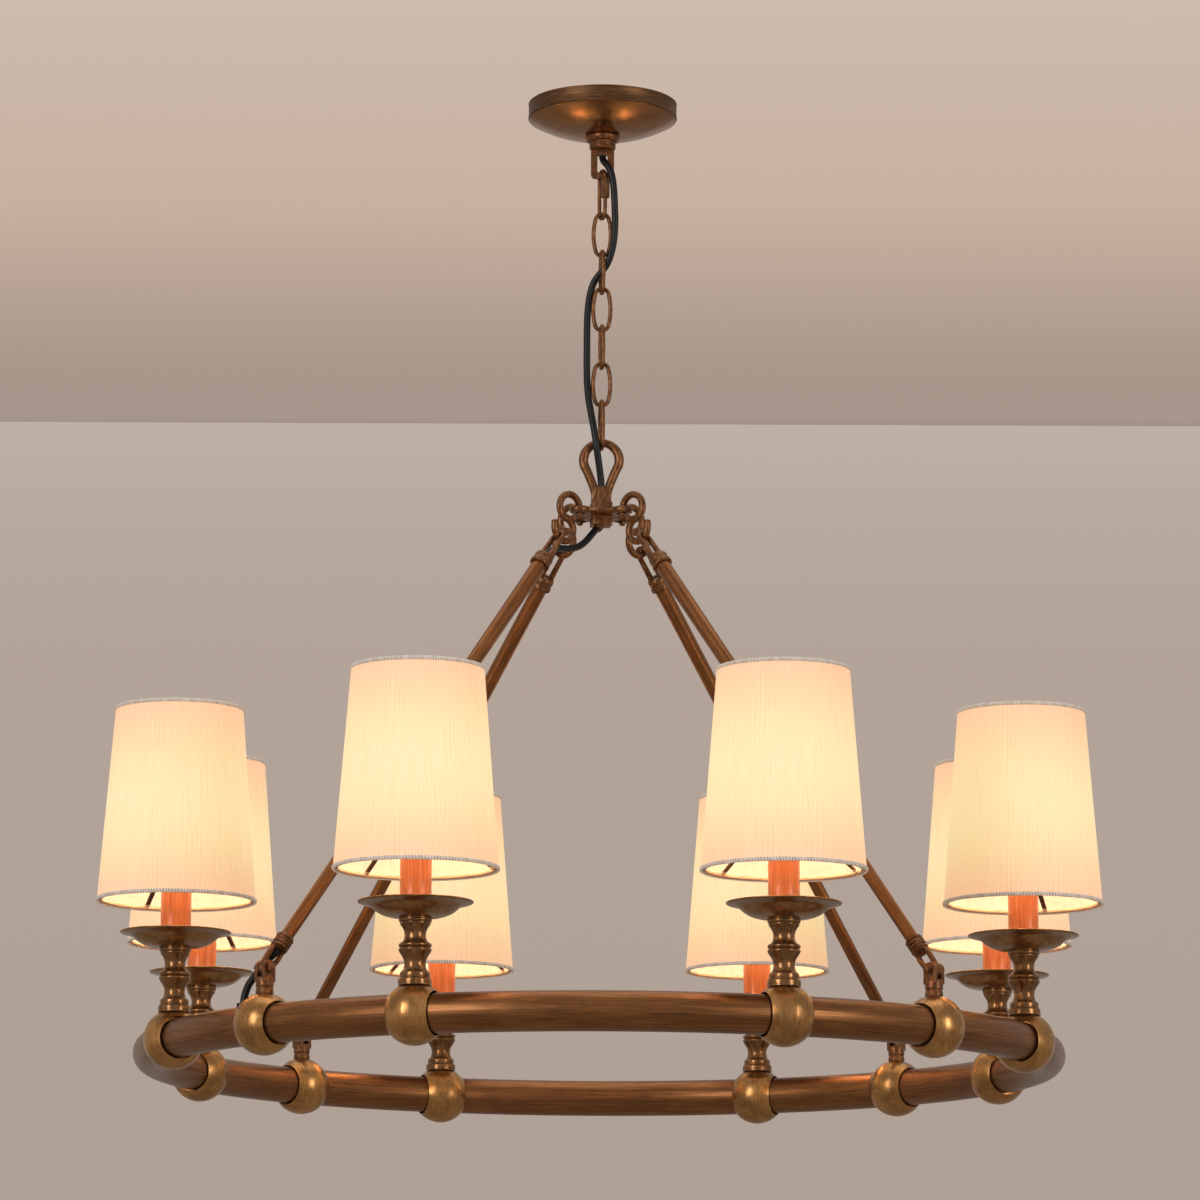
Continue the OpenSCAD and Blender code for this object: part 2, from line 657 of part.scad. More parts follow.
// Flat strap with a long window, round at the pin and as wide as the collar above
module strap_outline() {
    window_r = strap_r - 3.6 + fit;
    arm_u = collar_d / 2 - 0.8;
    difference() {
        union() {
            circle(r = strap_r);
            polygon([[-strap_r, 0], [strap_r, 0], [arm_u, foot_gap - 2], [-arm_u, foot_gap - 2]]);
        }
        circle(r = window_r);
        polygon([
            [-window_r, 0], [window_r, 0],
            [arm_u - strap_wall, foot_gap - 5], [arm_u - strap_wall, foot_gap - 2],
            [-arm_u + strap_wall, foot_gap - 2], [-arm_u + strap_wall, foot_gap - 5]
        ]);
    }
}

// Forks on the rod balls, each with a stud down through the ball into the tube
module clevises() {
    fork = strap_t + 2 * gap;
    base_low = ball_r - 1.6;
    base_top = pin_h - strap_r - 1;
    color(rust) for (a = rod_az) on_ring(a) difference() {
        union() {
            translate([0, 0, base_low]) cylinder(d = clevis_d, h = base_top - base_low);
            translate([0, 0, stem_low]) cylinder(d = stud_d, h = base_low - stem_low + 1);
            for (s = [-1, 1]) {
                translate([-prong_r, s * (fork + prong_t) / 2 - prong_t / 2, base_top - 1])
                    cube([2 * prong_r, prong_t, pin_h - base_top + 1]);
                translate([0, s * (fork + prong_t) / 2, pin_h]) rotate([90, 0, 0])
                    cylinder(r = prong_r, h = prong_t, center = true);
            }
        }
        translate([0, 0, pin_h]) rotate([90, 0, 0]) cylinder(d = pin_d + 2 * fit, h = deep, center = true);
        difference() {
            sphere(r = ball_r, $fn = 96);
            cylinder(d = stud_d, h = deep);
        }
    }
}

// Pins of the forks, with a head at one end and a split pin through the other
module clevis_pins() {
    half = (strap_t + 2 * gap) / 2 + prong_t;
    head_h = 2.2;
    tail = 3.6;
    color("peru") for (a = rod_az) on_ring(a) translate([0, 0, pin_h]) rotate([90, 0, 0]) {
        translate([0, 0, -half - gap]) cylinder(d = pin_d, h = 2 * half + gap + tail);
        translate([0, 0, -half - gap - head_h]) cylinder(d = pin_d + 3, h = head_h);
        translate([-4, 0, half + tail / 2 + 0.4]) rotate([0, 90, 0]) cylinder(d = 1.4, h = 8, $fn = 24);
    }
}

// The ring: a hollow tube with a hole under each candle stem, each stud and the cord's grommet
module ring_tube() {
    color(bronze) difference() {
        translate([0, 0, ring_z]) rotate_extrude($fn = 180) translate([ring_r, 0]) difference() {
            circle(r = tube_r);
            circle(r = tube_r - tube_wall);
        }
        for (a = candle_az) on_ring(a) cylinder(d = stem_d + 4 * fit, h = deep);
        for (a = rod_az) on_ring(a) cylinder(d = stud_d + 4 * fit, h = deep);
        on_ring(grommet_az) cylinder(r = cord_r + 1.2 + fit, h = deep);
    }
}

// A ball that the tube passes through: it grips the tube in the middle and clears it at its mouths
module ring_ball(hole) {
    difference() {
        sphere(r = ball_r, $fn = 96);
        for (s = [0, 1]) mirror([0, s, 0]) translate([0, ball_land / 2, 0]) rotate([-90, 0, 0])
            cylinder(r = tube_r + ball_mouth_gap, h = ball_r);
        tube_stretch(tube_r);
        cylinder(d = hole, h = deep);
    }
}

module candle_balls() {
    color(gold) for (a = candle_az) on_ring(a) ring_ball(stem_d + 4 * fit);
}

module rod_balls() {
    color(gold) for (a = rod_az) on_ring(a) ring_ball(stud_d + 4 * fit);
}

// Threaded tubes that hold each candle together and carry its wires
module candle_stems() {
    color("goldenrod") for (a = candle_az) on_ring(a) translate([0, 0, stem_low])
        pipe(stem_d / 2, stem_bore / 2, stem_top - stem_low);
}

// Outline of a turned baluster: base, neck, bulge with a lip, neck, top flange
module baluster_outline() {
    r = baluster_d / 2;
    neck = neck_d / 2;
    low = ball_flat - 2;
    low_neck = ball_flat + 0.3 * baluster_h;
    high_neck = ball_flat + 0.76 * baluster_h;
    low_rr = 6.4;
    high_rr = 7.8;
    bulge_z = (low_neck + low_rr + high_neck - high_rr) / 2;
    difference() {
        union() {
            translate([0, low]) square([r - 2.2, pan_z - low]);
            translate([0, low]) square([r, 5.4]);
            translate([r - 2.9, low + 5.4]) circle(r = 2.9);
            translate([0, pan_z - 4]) square([r - 0.4, 4]);
            translate([r - 5, bulge_z - 1.5]) circle(r = 4.6);
            translate([0, bulge_z + 2.4]) square([r - 1, 2.4]);
            translate([r - 1.2, bulge_z + 3.6]) circle(r = 1.2, $fn = 24);
        }
        translate([neck + low_rr, low_neck]) circle(r = low_rr);
        translate([neck + high_rr, high_neck]) circle(r = high_rr);
        translate([-1, 0]) square([1 + stem_d / 2 + fit, 2 * pan_z]);
    }
}

module balusters() {
    color(bronze) for (a = candle_az) on_ring(a) difference() {
        rotate_extrude() baluster_outline();
        sphere(r = ball_r, $fn = 96);
    }
}

// Drip pans: a flat seat, a dish that rises in a curve and a thin rim that flares out
module drip_pans() {
    rim = pan_d / 2;
    seat = baluster_d / 2 - 0.4;
    steps = 12;
    under = [for (i = [0:steps]) let (k = i / steps)
        [seat + (rim - seat) * k, (pan_h - pan_wall) * (0.62 * (1 - cos(180 * min(1, k / 0.72))) / 2
            + 0.38 * pow(k, 3))]];
    color(bronze) for (a = candle_az) on_ring(a) translate([0, 0, pan_z]) rotate_extrude($fn = 64)
        polygon(concat(
            [[stem_d / 2 + fit, 0]], under,
            [for (i = [steps:-1:0]) under[i] + [0, pan_wall]],
            [[stem_d / 2 + fit, pan_wall]]
        ));
}

module candle_sleeves() {
    color(copper) for (a = candle_az) on_ring(a) translate([0, 0, sleeve_low])
        pipe(sleeve_d / 2, sleeve_d / 2 - sleeve_wall, sleeve_h);
}

// Lampholders: screwed on the stems, with a flange on the sleeve's top and a threaded neck above,
// and the ring that clamps the shade's frame down on the flange
module lampholders() {
    body_r = sleeve_d / 2 - sleeve_wall - 2 * gap;
    color("dimgray") for (a = candle_az) on_ring(a) {
        difference() {
            union() {
                translate([0, 0, holder_low]) cylinder(r = body_r, h = sleeve_top - holder_low);
                translate([0, 0, sleeve_top]) cylinder(r = sleeve_d / 2 + flange_over, h = flange_t);
                translate([0, 0, flange_z - eps]) cylinder(r = neck_r, h = holder_neck_h + eps);
            }
            translate([0, 0, holder_low - 1]) cylinder(d = stem_d + 2 * fit, h = stem_top - holder_low + 1);
            translate([0, 0, bulb_base_low - gap]) cylinder(r = socket_r, h = deep);
        }
        translate([0, 0, nut_ring_low]) pipe(neck_r + nut_ring_over, neck_r + fit, nut_ring_h);
    }
}

// Bulb number i: a screw base, a collar above the holder and a candle-shaped glass
module bulb(i) {
    r = bulb_d / 2;
    base_r = bulb_base_d / 2;
    collar_r = base_r + 1;
    tip_r = 0.6;
    widest = 0.34; // how far up the glass is widest
    steps = 12;
    low = holder_top + gap;
    glass = [for (k = [0:steps]) let (f = k / steps) [
        f < widest
            ? collar_r + (r - collar_r) * sin(90 * f / widest)
            : r - (r - tip_r) * pow((f - widest) / (1 - widest), 1.9),
        low + 2 + (bulb_h - 2) * f
    ]];
    color([1, 0.86, 0.6]) on_ring(candle_az[i - 1]) rotate_extrude() polygon(concat(
        [[0, bulb_base_low], [base_r, bulb_base_low], [base_r, low], [collar_r, low]],
        glass, [[0, low + bulb_h]]
    ));
}

// Shade number i: a thin cone of pleated fabric, open above and below
module shade(i) {
    low_r = shade_bottom_d / 2;
    high_r = shade_top_d / 2;
    color(fabric) on_ring(candle_az[i - 1]) rotate_extrude($fn = 96) polygon([
        [low_r - shade_wall, shade_low], [low_r, shade_low],
        [high_r, shade_top], [high_r - shade_wall, shade_top]
    ]);
}

// Frame of shade number i: a wire ring at each edge, and a washer on the lampholder with three arms
// that run down to the lower ring
module shade_frame(i) {
    low_r = shade_bottom_d / 2 - shade_wall;
    high_r = shade_top_d / 2 - shade_wall;
    taper = (low_r - high_r) / shade_h;
    wire_r = shade_wire / 2;
    low_wire_z = shade_low + wire_r + 0.5;
    low_wire_r = low_r - taper * shade_wire - wire_r - gap;
    high_wire_r = high_r - wire_r - gap;
    washer_r = neck_r + 4.6;
    arm_from = [washer_r - 1, frame_z + frame_t / 2];
    arm_to = [low_wire_r, low_wire_z];
    arm_l = norm(arm_to - arm_from);
    arm_a = atan2(arm_from[1] - arm_to[1], arm_to[0] - arm_from[0]);
    color("dimgray") on_ring(candle_az[i - 1]) {
        difference() {
            union() {
                translate([0, 0, frame_z]) cylinder(r = washer_r, h = frame_t);
                for (k = [0:2]) rotate([0, 0, 30 + 120 * k]) translate([arm_from[0], 0, arm_from[1]])
                    rotate([0, arm_a, 0]) translate([0, -arm_w / 2, -arm_t / 2])
                        cube([arm_l, arm_w, arm_t]);
                translate([0, 0, low_wire_z]) rotate_extrude($fn = 96) translate([low_wire_r, 0])
                    circle(r = wire_r, $fn = 24);
            }
            translate([0, 0, frame_z - deep / 2]) cylinder(r = neck_r + gap, h = deep);
        }
        translate([0, 0, shade_top - wire_r - 0.5]) rotate_extrude($fn = 96)
            translate([high_wire_r, 0]) circle(r = wire_r, $fn = 24);
    }
}

// The cord's free stretches: down the chain, from the hub to the front left rod,
// and from that rod's foot into the ring
module cord_chain() {
    color("black") tube_along(chain_route, cord_r, cord_sides);
}

module cord_hub() {
    color("black") at_azimuth(cord_az) tube_along(hub_route, cord_r, cord_sides);
}

module cord_foot() {
    color("black") at_azimuth(cord_az) tube_along(foot_route, cord_r, cord_sides);
}

// Grommet in the ring tube where the cord goes in
module cord_grommet() {
    color("black") on_ring(grommet_az) difference() {
        union() {
            translate([0, 0, tube_r - 4]) cylinder(r = cord_r + 1.2, h = 5);
            difference() {
                translate([0, 0, tube_r - 1.4]) cylinder(r = grommet_r, h = grommet_top - tube_r + 1.4);
                tube_stretch(tube_r);
            }
        }
        cylinder(r = mouth_r, h = deep);
    }
}

crossbar();
terminal_block();
nipple();
stirrup_loop();
canopy_cover();
ring_nut();
quick_link();
quick_link_nut();
link(1);  // link_1
link(2);  // link_2
link(3);  // link_3
link(4);  // link_4
link(5);  // link_5
link(6);  // link_6
hub();
s_hook(1);  // s_hook_1
s_hook(2);  // s_hook_2
s_hook(3);  // s_hook_3
s_hook(4);  // s_hook_4
rods();
rod_ends();
clevises();
clevis_pins();
ring_tube();
candle_balls();
rod_balls();
candle_stems();
balusters();
drip_pans();
candle_sleeves();
lampholders();
cord_chain();
cord_hub();
cord_foot();
cord_grommet();
bulb(1);  // bulb_1
bulb(2);  // bulb_2
bulb(3);  // bulb_3
bulb(4);  // bulb_4
bulb(5);  // bulb_5
bulb(6);  // bulb_6
bulb(7);  // bulb_7
bulb(8);  // bulb_8
shade(1);  // shade_1
shade(2);  // shade_2
shade(3);  // shade_3
shade(4);  // shade_4
shade(5);  // shade_5
shade(6);  // shade_6
shade(7);  // shade_7
shade(8);  // shade_8
shade_frame(1);  // shade_frame_1
shade_frame(2);  // shade_frame_2
shade_frame(3);  // shade_frame_3
shade_frame(4);  // shade_frame_4
shade_frame(5);  // shade_frame_5
shade_frame(6);  // shade_frame_6
shade_frame(7);  // shade_frame_7
shade_frame(8);  // shade_frame_8
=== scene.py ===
"""Looks of the ring chandelier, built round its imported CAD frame. Metres, Z up, origin at the ceiling."""

from math import atan, atan2, cos, exp, hypot, pi, radians, sin, sqrt, tan

import bmesh
import bpy
import numpy as np
from mathutils import Matrix, Vector


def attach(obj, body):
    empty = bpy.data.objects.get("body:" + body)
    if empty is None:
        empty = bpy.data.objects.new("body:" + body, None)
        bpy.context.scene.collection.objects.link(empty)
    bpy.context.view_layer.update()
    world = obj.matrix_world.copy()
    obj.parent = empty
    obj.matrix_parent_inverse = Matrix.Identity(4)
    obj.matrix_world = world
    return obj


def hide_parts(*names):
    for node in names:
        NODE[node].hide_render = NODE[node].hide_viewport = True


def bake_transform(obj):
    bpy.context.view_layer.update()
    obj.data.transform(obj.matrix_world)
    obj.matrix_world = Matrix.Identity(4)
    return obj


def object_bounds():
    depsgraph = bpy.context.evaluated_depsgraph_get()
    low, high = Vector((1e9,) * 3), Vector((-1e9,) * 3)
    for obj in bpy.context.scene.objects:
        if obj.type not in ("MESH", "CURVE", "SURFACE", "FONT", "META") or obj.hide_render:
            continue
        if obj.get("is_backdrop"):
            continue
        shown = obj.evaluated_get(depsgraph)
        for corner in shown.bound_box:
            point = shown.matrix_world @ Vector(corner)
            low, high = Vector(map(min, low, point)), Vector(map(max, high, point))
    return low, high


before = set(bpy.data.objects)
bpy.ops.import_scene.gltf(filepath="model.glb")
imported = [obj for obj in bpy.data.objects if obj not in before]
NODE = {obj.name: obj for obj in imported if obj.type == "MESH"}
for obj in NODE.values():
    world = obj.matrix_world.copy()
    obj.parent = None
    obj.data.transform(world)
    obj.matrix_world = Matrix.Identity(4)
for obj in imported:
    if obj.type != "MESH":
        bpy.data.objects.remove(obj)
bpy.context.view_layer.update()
TAU = 2 * pi

# The part's main sizes, as in its source
CANOPY_R = 0.065
RING_R = 0.3775
RING_Z = -0.836
TUBE_R = 0.016
PIN_Z = RING_Z + 0.045
APEX_Z = -0.330
ROD_SLOPE = atan2(APEX_Z - PIN_Z, RING_R)
CANDLE_AZ = [22.5 + 45 * i for i in range(8)]
ROD_AZ = [45, 135, 225, 315]
CORD_AZ = 315


# ---- frames and meshes

def shift(x, y, z):
    return Matrix.Translation((x, y, z))


def turned(degrees, axis="Z"):
    return Matrix.Rotation(radians(degrees), 4, axis)


def at_azimuth(azimuth, out=0.0, z=0.0):
    """Local origin out from the axis at the azimuth, local +X outwards, +Y sideways."""
    return turned(azimuth - 90) @ shift(out, 0, z)


def on_ring(azimuth):
    """Local origin on the ring tube's centre line."""
    return at_azimuth(azimuth, RING_R, RING_Z)


def along_rod(azimuth):
    """Local origin on the clevis pin, +Z up along the rod."""
    return at_azimuth(azimuth, RING_R, PIN_Z) @ Matrix.Rotation(ROD_SLOPE - pi / 2, 4, "Y")


def mm(rows, base=0.0):
    """Pairs or points stated in millimetres, in metres, their last value counted from base."""
    return [(*(v / 1000 for v in row[:-1]), base + row[-1] / 1000) for row in rows]


def smooth(mesh, angle=40):
    mesh.polygons.foreach_set("use_smooth", [True] * len(mesh.polygons))
    mesh.set_sharp_from_angle(angle=radians(angle))


def make(name, verts, faces, matrix=None, angle=40):
    """An object from points and faces in its own frame."""
    mesh = bpy.data.meshes.new(name)
    mesh.from_pydata([tuple(v) for v in verts], [], [tuple(f) for f in faces])
    mesh.validate()
    smooth(mesh, angle)
    obj = bpy.data.objects.new(name, mesh)
    bpy.context.scene.collection.objects.link(obj)
    if matrix is not None:
        obj.matrix_world = matrix
    return obj


def spline(points, per_span):
    """A smooth curve through points (Catmull-Rom)."""
    p = [Vector(q) for q in points]
    n = len(p)
    out = []
    for i in range(n - 1):
        b, c = p[i], p[i + 1]
        a = p[i - 1] if i > 0 else b * 2 - c
        d = p[i + 2] if i + 2 < n else c * 2 - b
        for k in range(per_span):
            t = k / per_span
            out.append(0.5 * ((2 * b) + (c - a) * t + (2 * a - 5 * b + 4 * c - d) * t ** 2
                              + (3 * b - a - 3 * c + d) * t ** 3))
    return out + [p[-1].copy()]


def line_length(points):
    return sum((b - a).length for a, b in zip(points, points[1:]))


def even(points, step):
    """The same open line with points about a step apart."""
    total = line_length(points)
    count = max(2, round(total / step))
    out, target, run = [points[0].copy()], total / count, 0.0
    for a, b in zip(points, points[1:]):
        seg = (b - a).length
        while len(out) < count and run + seg >= target * len(out):
            t = (target * len(out) - run) / seg
            out.append(a.lerp(b, t))
        run += seg
    out.append(points[-1].copy())
    return out


def sweep(points, radius, sides, closed=False, first=(0.1, 1, 0.3), shape=None, round_ends=0):
    """Points and faces of a round bar along a line. radius is a number or a function of the share
    of the way along; shape(share, angle) scales it; round_ends adds dome rings at both ends."""
    p = [Vector(q) for q in points]
    n = len(p)
    last = n if closed else n - 1
    side, frames = Vector(first), []
    for i in range(n):
        before, after = (i - 1, (i + 1) % n) if closed else (max(i - 1, 0), min(i + 1, n - 1))
        tangent = (p[after] - p[before]).normalized()
        side = (side - side.dot(tangent) * tangent).normalized()
        frames.append((tangent, side.copy(), tangent.cross(side)))
    # Each ring: its point of the line, and its angle up a rounded end
    rings = [(i, 0.0) for i in range(n)]
    if round_ends:
        domes = [pi / 2 * (j + 1) / (round_ends + 0.35) for j in range(round_ends)]
        rings = [(0, -b) for b in domes[::-1]] + rings + [(n - 1, b) for b in domes]
    verts, faces = [], []
    for i, b in rings:
        tangent, side, other = frames[i]
        u = i / last
        r = radius(u) if callable(radius) else radius
        centre = p[i] + tangent * r * sin(b) * 0.75
        for k in range(sides):
            a = TAU * k / sides
            s = shape(u, a) if shape else 1.0
            verts.append(centre + r * cos(b) * s * (cos(a) * side + sin(a) * other))
    count = len(rings)
    loops = count if closed else count - 1
    for i in range(loops):
        for k in range(sides):
            a, b = i * sides + k, i * sides + (k + 1) % sides
            c, d = (i + 1) % count * sides + k, (i + 1) % count * sides + (k + 1) % sides
            faces.append((a, b, d, c))
    if not closed:
        faces.append(tuple(range(sides))[::-1])
        faces.append(tuple((count - 1) * sides + k for k in range(sides)))
    return verts, faces


def lathe(profile, segments=64, closed=False):
    """Points and faces of a turned shape. profile is (radius, height) pairs from its lower end on
    the outside; radius 0 closes it to a point, and closed joins the last pair to the first."""
    verts, faces, rows = [], [], []
    for r, z in profile:
        if r < 1e-7:
            rows.append([len(verts)])
            verts.append((0, 0, z))
        else:
            rows.append(list(range(len(verts), len(verts) + segments)))
            for k in range(segments):
                a = TAU * k / segments
                verts.append((r * cos(a), r * sin(a), z))
    pairs = list(zip(rows, rows[1:]))
    if closed:
        pairs.append((rows[-1], rows[0]))
    for lo, hi in pairs:
        for k in range(segments):
            m = (k + 1) % segments
            if len(lo) == 1 and len(hi) == 1:
                continue
            if len(lo) == 1:
                faces.append((lo[0], hi[m], hi[k]))
            elif len(hi) == 1:
                faces.append((lo[k], lo[m], hi[0]))
            else:
                faces.append((lo[k], lo[m], hi[m], hi[k]))
    return verts, faces


def cylinder(radius, low, high, segments):
    return lathe([(0.0, low), (radius, low), (radius, high), (0.0, high)], segments)


def arc(x, z, radius, start, end, steps):
    """Pairs on an arc round (x, z), both ends included, with angles in radians."""
    angles = [start + (end - start) * k / steps for k in range(steps + 1)]
    return [(x + radius * cos(t), z + radius * sin(t)) for t in angles]


def upright(pairs):
    """Pairs as points of the XZ plane."""
    return [(x, 0, z) for x, z in pairs]


def moved(part, matrix):
    verts, faces = part
    return [matrix @ Vector(v) for v in verts], faces


def joined(*parts):
    verts, faces = [], []
    for v, f in parts:
        base = len(verts)
        verts.extend(v)
        faces.extend(tuple(i + base for i in face) for face in f)
    return verts, faces


def soft_corners(points, radius, steps=4):
    """Rounds the corners of a closed 2D outline; radius is one for all or a list."""
    out = []
    n = len(points)
    for i, p in enumerate(points):
        p = Vector(p).to_2d()
        a, b = Vector(points[i - 1]).to_2d(), Vector(points[(i + 1) % n]).to_2d()
        r = radius[i] if isinstance(radius, (list, tuple)) else radius
        da, db = (a - p), (b - p)
        cut = min(r, da.length * 0.48, db.length * 0.48)
        if cut < 1e-6:
            out.append(tuple(p))
            continue
        pa, pb = p + da.normalized() * cut, p + db.normalized() * cut
        for k in range(steps + 1):
            t = k / steps
            q = (1 - t) ** 2 * pa + 2 * t * (1 - t) * p + t * t * pb
            out.append(tuple(q))
    return out


def rectangle(x, y, far_x, far_y):
    return [(x, y), (far_x, y), (far_x, far_y), (x, far_y)]


def prism(outline, low, high):
    """Points and faces of a plate: an outline in XY between two heights."""
    n = len(outline)
    verts = [(x, y, low) for x, y in outline] + [(x, y, high) for x, y in outline]
    faces = [tuple(range(n))[::-1], tuple(range(n, 2 * n))]
    faces += [(i, (i + 1) % n, n + (i + 1) % n, n + i) for i in range(n)]
    return verts, faces


def apply_modifiers(obj):
    deps = bpy.context.evaluated_depsgraph_get()
    mesh = bpy.data.meshes.new_from_object(obj.evaluated_get(deps))
    obj.modifiers.clear()
    obj.data = mesh
    return obj


def beveled(obj, width, segments=2, angle=35):
    m = obj.modifiers.new("bevel", "BEVEL")
    m.width, m.segments, m.limit_method = width, segments, "ANGLE"
    m.angle_limit = radians(angle)
    apply_modifiers(obj)
    smooth(obj.data, 40)
    return obj


def fused(name, part, voxel, cuts=(), relax=6, matrix=None):
    """One skin round overlapping shapes, melted together as in a casting, then drilled."""
    obj = make(name, *part)
    m = obj.modifiers.new("skin", "REMESH")
    m.mode, m.voxel_size, m.adaptivity = "VOXEL", voxel, 0
    m = obj.modifiers.new("relax", "SMOOTH")
    m.factor, m.iterations = 0.5, relax
    apply_modifiers(obj)
    for cut in cuts:
        tool = make(name + "_tool", *cut)
        m = obj.modifiers.new("cut", "BOOLEAN")
        m.operation, m.object, m.solver = "DIFFERENCE", tool, "EXACT"
        apply_modifiers(obj)
        bpy.data.objects.remove(tool)
    smooth(obj.data, 50)
    if matrix:
        obj.matrix_world = matrix
    return obj


# ---- camera

CAMERA_AT = (-0.0007, -4.4326, RING_Z - 0.4334)
CAMERA_PITCH = 0.1847
CAMERA_ROLL = 0.0038
camera_data = bpy.data.cameras.new("camera")
camera_data.lens, camera_data.sensor_width = 157.2, 36
camera = bpy.data.objects.new("camera", camera_data)
bpy.context.scene.collection.objects.link(camera)
camera.matrix_world = (Matrix.Translation(CAMERA_AT)
                       @ Matrix.Rotation(pi / 2 + CAMERA_PITCH, 4, "X")
                       @ Matrix.Rotation(CAMERA_ROLL, 4, "Z"))
bpy.context.scene.camera = camera


# ---- material helpers

class Nodes:
    """Short calls for the shader nodes of a material or a world."""

    def __init__(self, owner):
        owner.use_nodes = True
        self.tree = owner.node_tree
        self.tree.nodes.clear()

    def new(self, kind, **settings):
        n = self.tree.nodes.new("ShaderNode" + kind)
        for key, value in settings.items():
            setattr(n, key, value)
        return n

    def put(self, socket, value):
        if isinstance(value, bpy.types.NodeSocket):
            self.tree.links.new(value, socket)
        else:
            socket.default_value = value

    def math(self, operation, *values):
        n = self.new("Math", operation=operation)
        for socket, value in zip(n.inputs, values):
            self.put(socket, value)
        return n.outputs[0]

    def times(self, a, b):
        return self.math("MULTIPLY", a, b)

    def plus(self, a, b):
        return self.math("ADD", a, b)

    def minus(self, a, b):
        return self.math("SUBTRACT", a, b)

    def cos(self, a):
        return self.math("COSINE", a)

    def sin(self, a):
        return self.math("SINE", a)

    def distance(self, x, y):
        return self.math("SQRT", self.plus(self.times(x, x), self.times(y, y)))

    def split(self, vector):
        n = self.new("SeparateXYZ")
        self.put(n.inputs[0], vector)
        return n.outputs

    def join(self, x, y, z):
        n = self.new("CombineXYZ")
        for socket, value in zip(n.inputs, (x, y, z)):
            self.put(socket, value)
        return n.outputs[0]

    def scaled(self, x, y, z, across, along):
        """A vector with x and y times across, and z times along."""
        return self.join(self.times(x, across), self.times(y, across), self.times(z, along))

    def noise(self, vector, scale, detail=4.0, rough=0.55, distortion=0.0):
        n = self.new("TexNoise")
        for key, value in (("Vector", vector), ("Scale", scale), ("Detail", detail),
                           ("Roughness", rough), ("Distortion", distortion)):
            self.put(n.inputs[key], value)
        return n.outputs["Fac"]

    def ramp(self, value, *stops):
        n = self.new("ValToRGB")
        self.put(n.inputs[0], value)
        while len(n.color_ramp.elements) < len(stops):
            n.color_ramp.elements.new(0.5)
        for e, (at, colour) in zip(n.color_ramp.elements, stops):
            e.position = at
            e.color = (*colour, 1) if hasattr(colour, "__len__") else (colour, colour, colour, 1)
        return n.outputs["Color"]

    def mix(self, factor, a, b, blend="MIX"):
        n = self.new("Mix", data_type="RGBA", blend_type=blend)
        self.put(n.inputs["Factor"], factor)
        for socket, value in zip((n.inputs[6], n.inputs[7]), (a, b)):
            self.put(socket, (*value, 1) if hasattr(value, "__len__") else value)
        return n.outputs[2]

    def bump(self, height, distance):
        n = self.new("Bump")
        n.inputs["Strength"].default_value = 1.0
        n.inputs["Distance"].default_value = distance
        self.put(n.inputs["Height"], height)
        return n.outputs[0]


class Paint(Nodes):
    """A node material with one principled shader."""

    def __init__(self, name, **shader):
        self.mat = bpy.data.materials.new(name)
        super().__init__(self.mat)
        self.shader = self.new("BsdfPrincipled")
        self.put(self.new("OutputMaterial").inputs["Surface"], self.shader.outputs[0])
        for key, value in shader.items():
            self.set(key.replace("_", " "), value)
        self.coords = self.new("TexCoord").outputs["Object"]

    def set(self, name, value):
        self.put(self.shader.inputs[name], value)

    def glow(self, colour, strength):
        self.set("Emission Color", colour)
        self.set("Emission Strength", strength)

    def done(self, colour, roughness, relief, depth):
        """The material, once it has its colour, its roughness and a relief of that depth."""
        self.set("Base Color", colour)
        self.set("Roughness", roughness)
        self.set("Normal", self.bump(relief, depth))
        return self.mat

    def place(self):
        """The object's own coordinates, one by one."""
        return self.split(self.coords)

    def around(self):
        """The angle round the object's Z axis with its cosine and sine, and the height."""
        x, y, z = self.place()
        angle = self.math("ARCTAN2", y, x)
        return angle, self.cos(angle), self.sin(angle), z

    def ring_coords(self):
        """The way along the ring in metres, and the angle round its tube's section."""
        x, y, z = self.place()
        along = self.times(self.math("ARCTAN2", y, x), RING_R)
        section = self.math("ARCTAN2", self.minus(z, RING_Z), self.minus(self.distance(x, y), RING_R))
        return along, section


GRAIN_R = TUBE_R * 1.2


def streaked(name, along, across, dark, mid, light, metallic, rough, depth=0.00006,
             coords="object", patches=22.0, **shader):
    """Brown metal finish with brushed streaks like wood grain, in the direction where along is
    low: two noises at different lengths, worn patches and a fine relief."""
    m = Paint(name, Metallic=metallic, **shader)
    if coords == "ring":
        z, section = m.ring_coords()
        x, y = m.times(m.cos(section), GRAIN_R), m.times(m.sin(section), GRAIN_R)
        plain = m.join(x, y, z)
    else:
        x, y, z = m.place()
        plain = m.coords
    v = m.scaled(x, y, z, across, along)
    broad = m.noise(v, 1.0, 5, 0.6, 0.3)
    thin = m.noise(v, 3.7, 4, 0.7)
    worn = m.noise(plain, patches, 4, 0.6, 0.4)
    grain = m.plus(m.times(broad, 0.62), m.times(thin, 0.38))
    colour = m.ramp(grain, (0.34, dark), (0.5, mid), (0.66, light))
    colour = m.mix(m.ramp(worn, (0.42, 0.0), (0.68, 0.55)), colour, m.mix(0.5, colour, light))
    smoothest, roughest = rough
    share = m.plus(m.times(thin, 0.5), m.times(worn, 0.5))
    return m.done(colour, m.plus(smoothest, m.times(share, roughest - smoothest)), grain, depth)


def plain_finish(name, dark, light, scale, metallic, rough, detail=5, coarser=0.4, **shader):
    """An even finish with a faint mottle; its roughness changes over longer distances."""
    m = Paint(name, Metallic=metallic, **shader)
    mottle = m.noise(m.coords, scale, detail, 0.6)
    uneven = m.ramp(m.noise(m.coords, scale * coarser, 3), (0.3, rough[0]), (0.7, rough[1]))
    return m.done(m.ramp(mottle, (0.3, dark), (0.7, light)), uneven, mottle, 0.00002)


# ---- cords (first, after the camera)

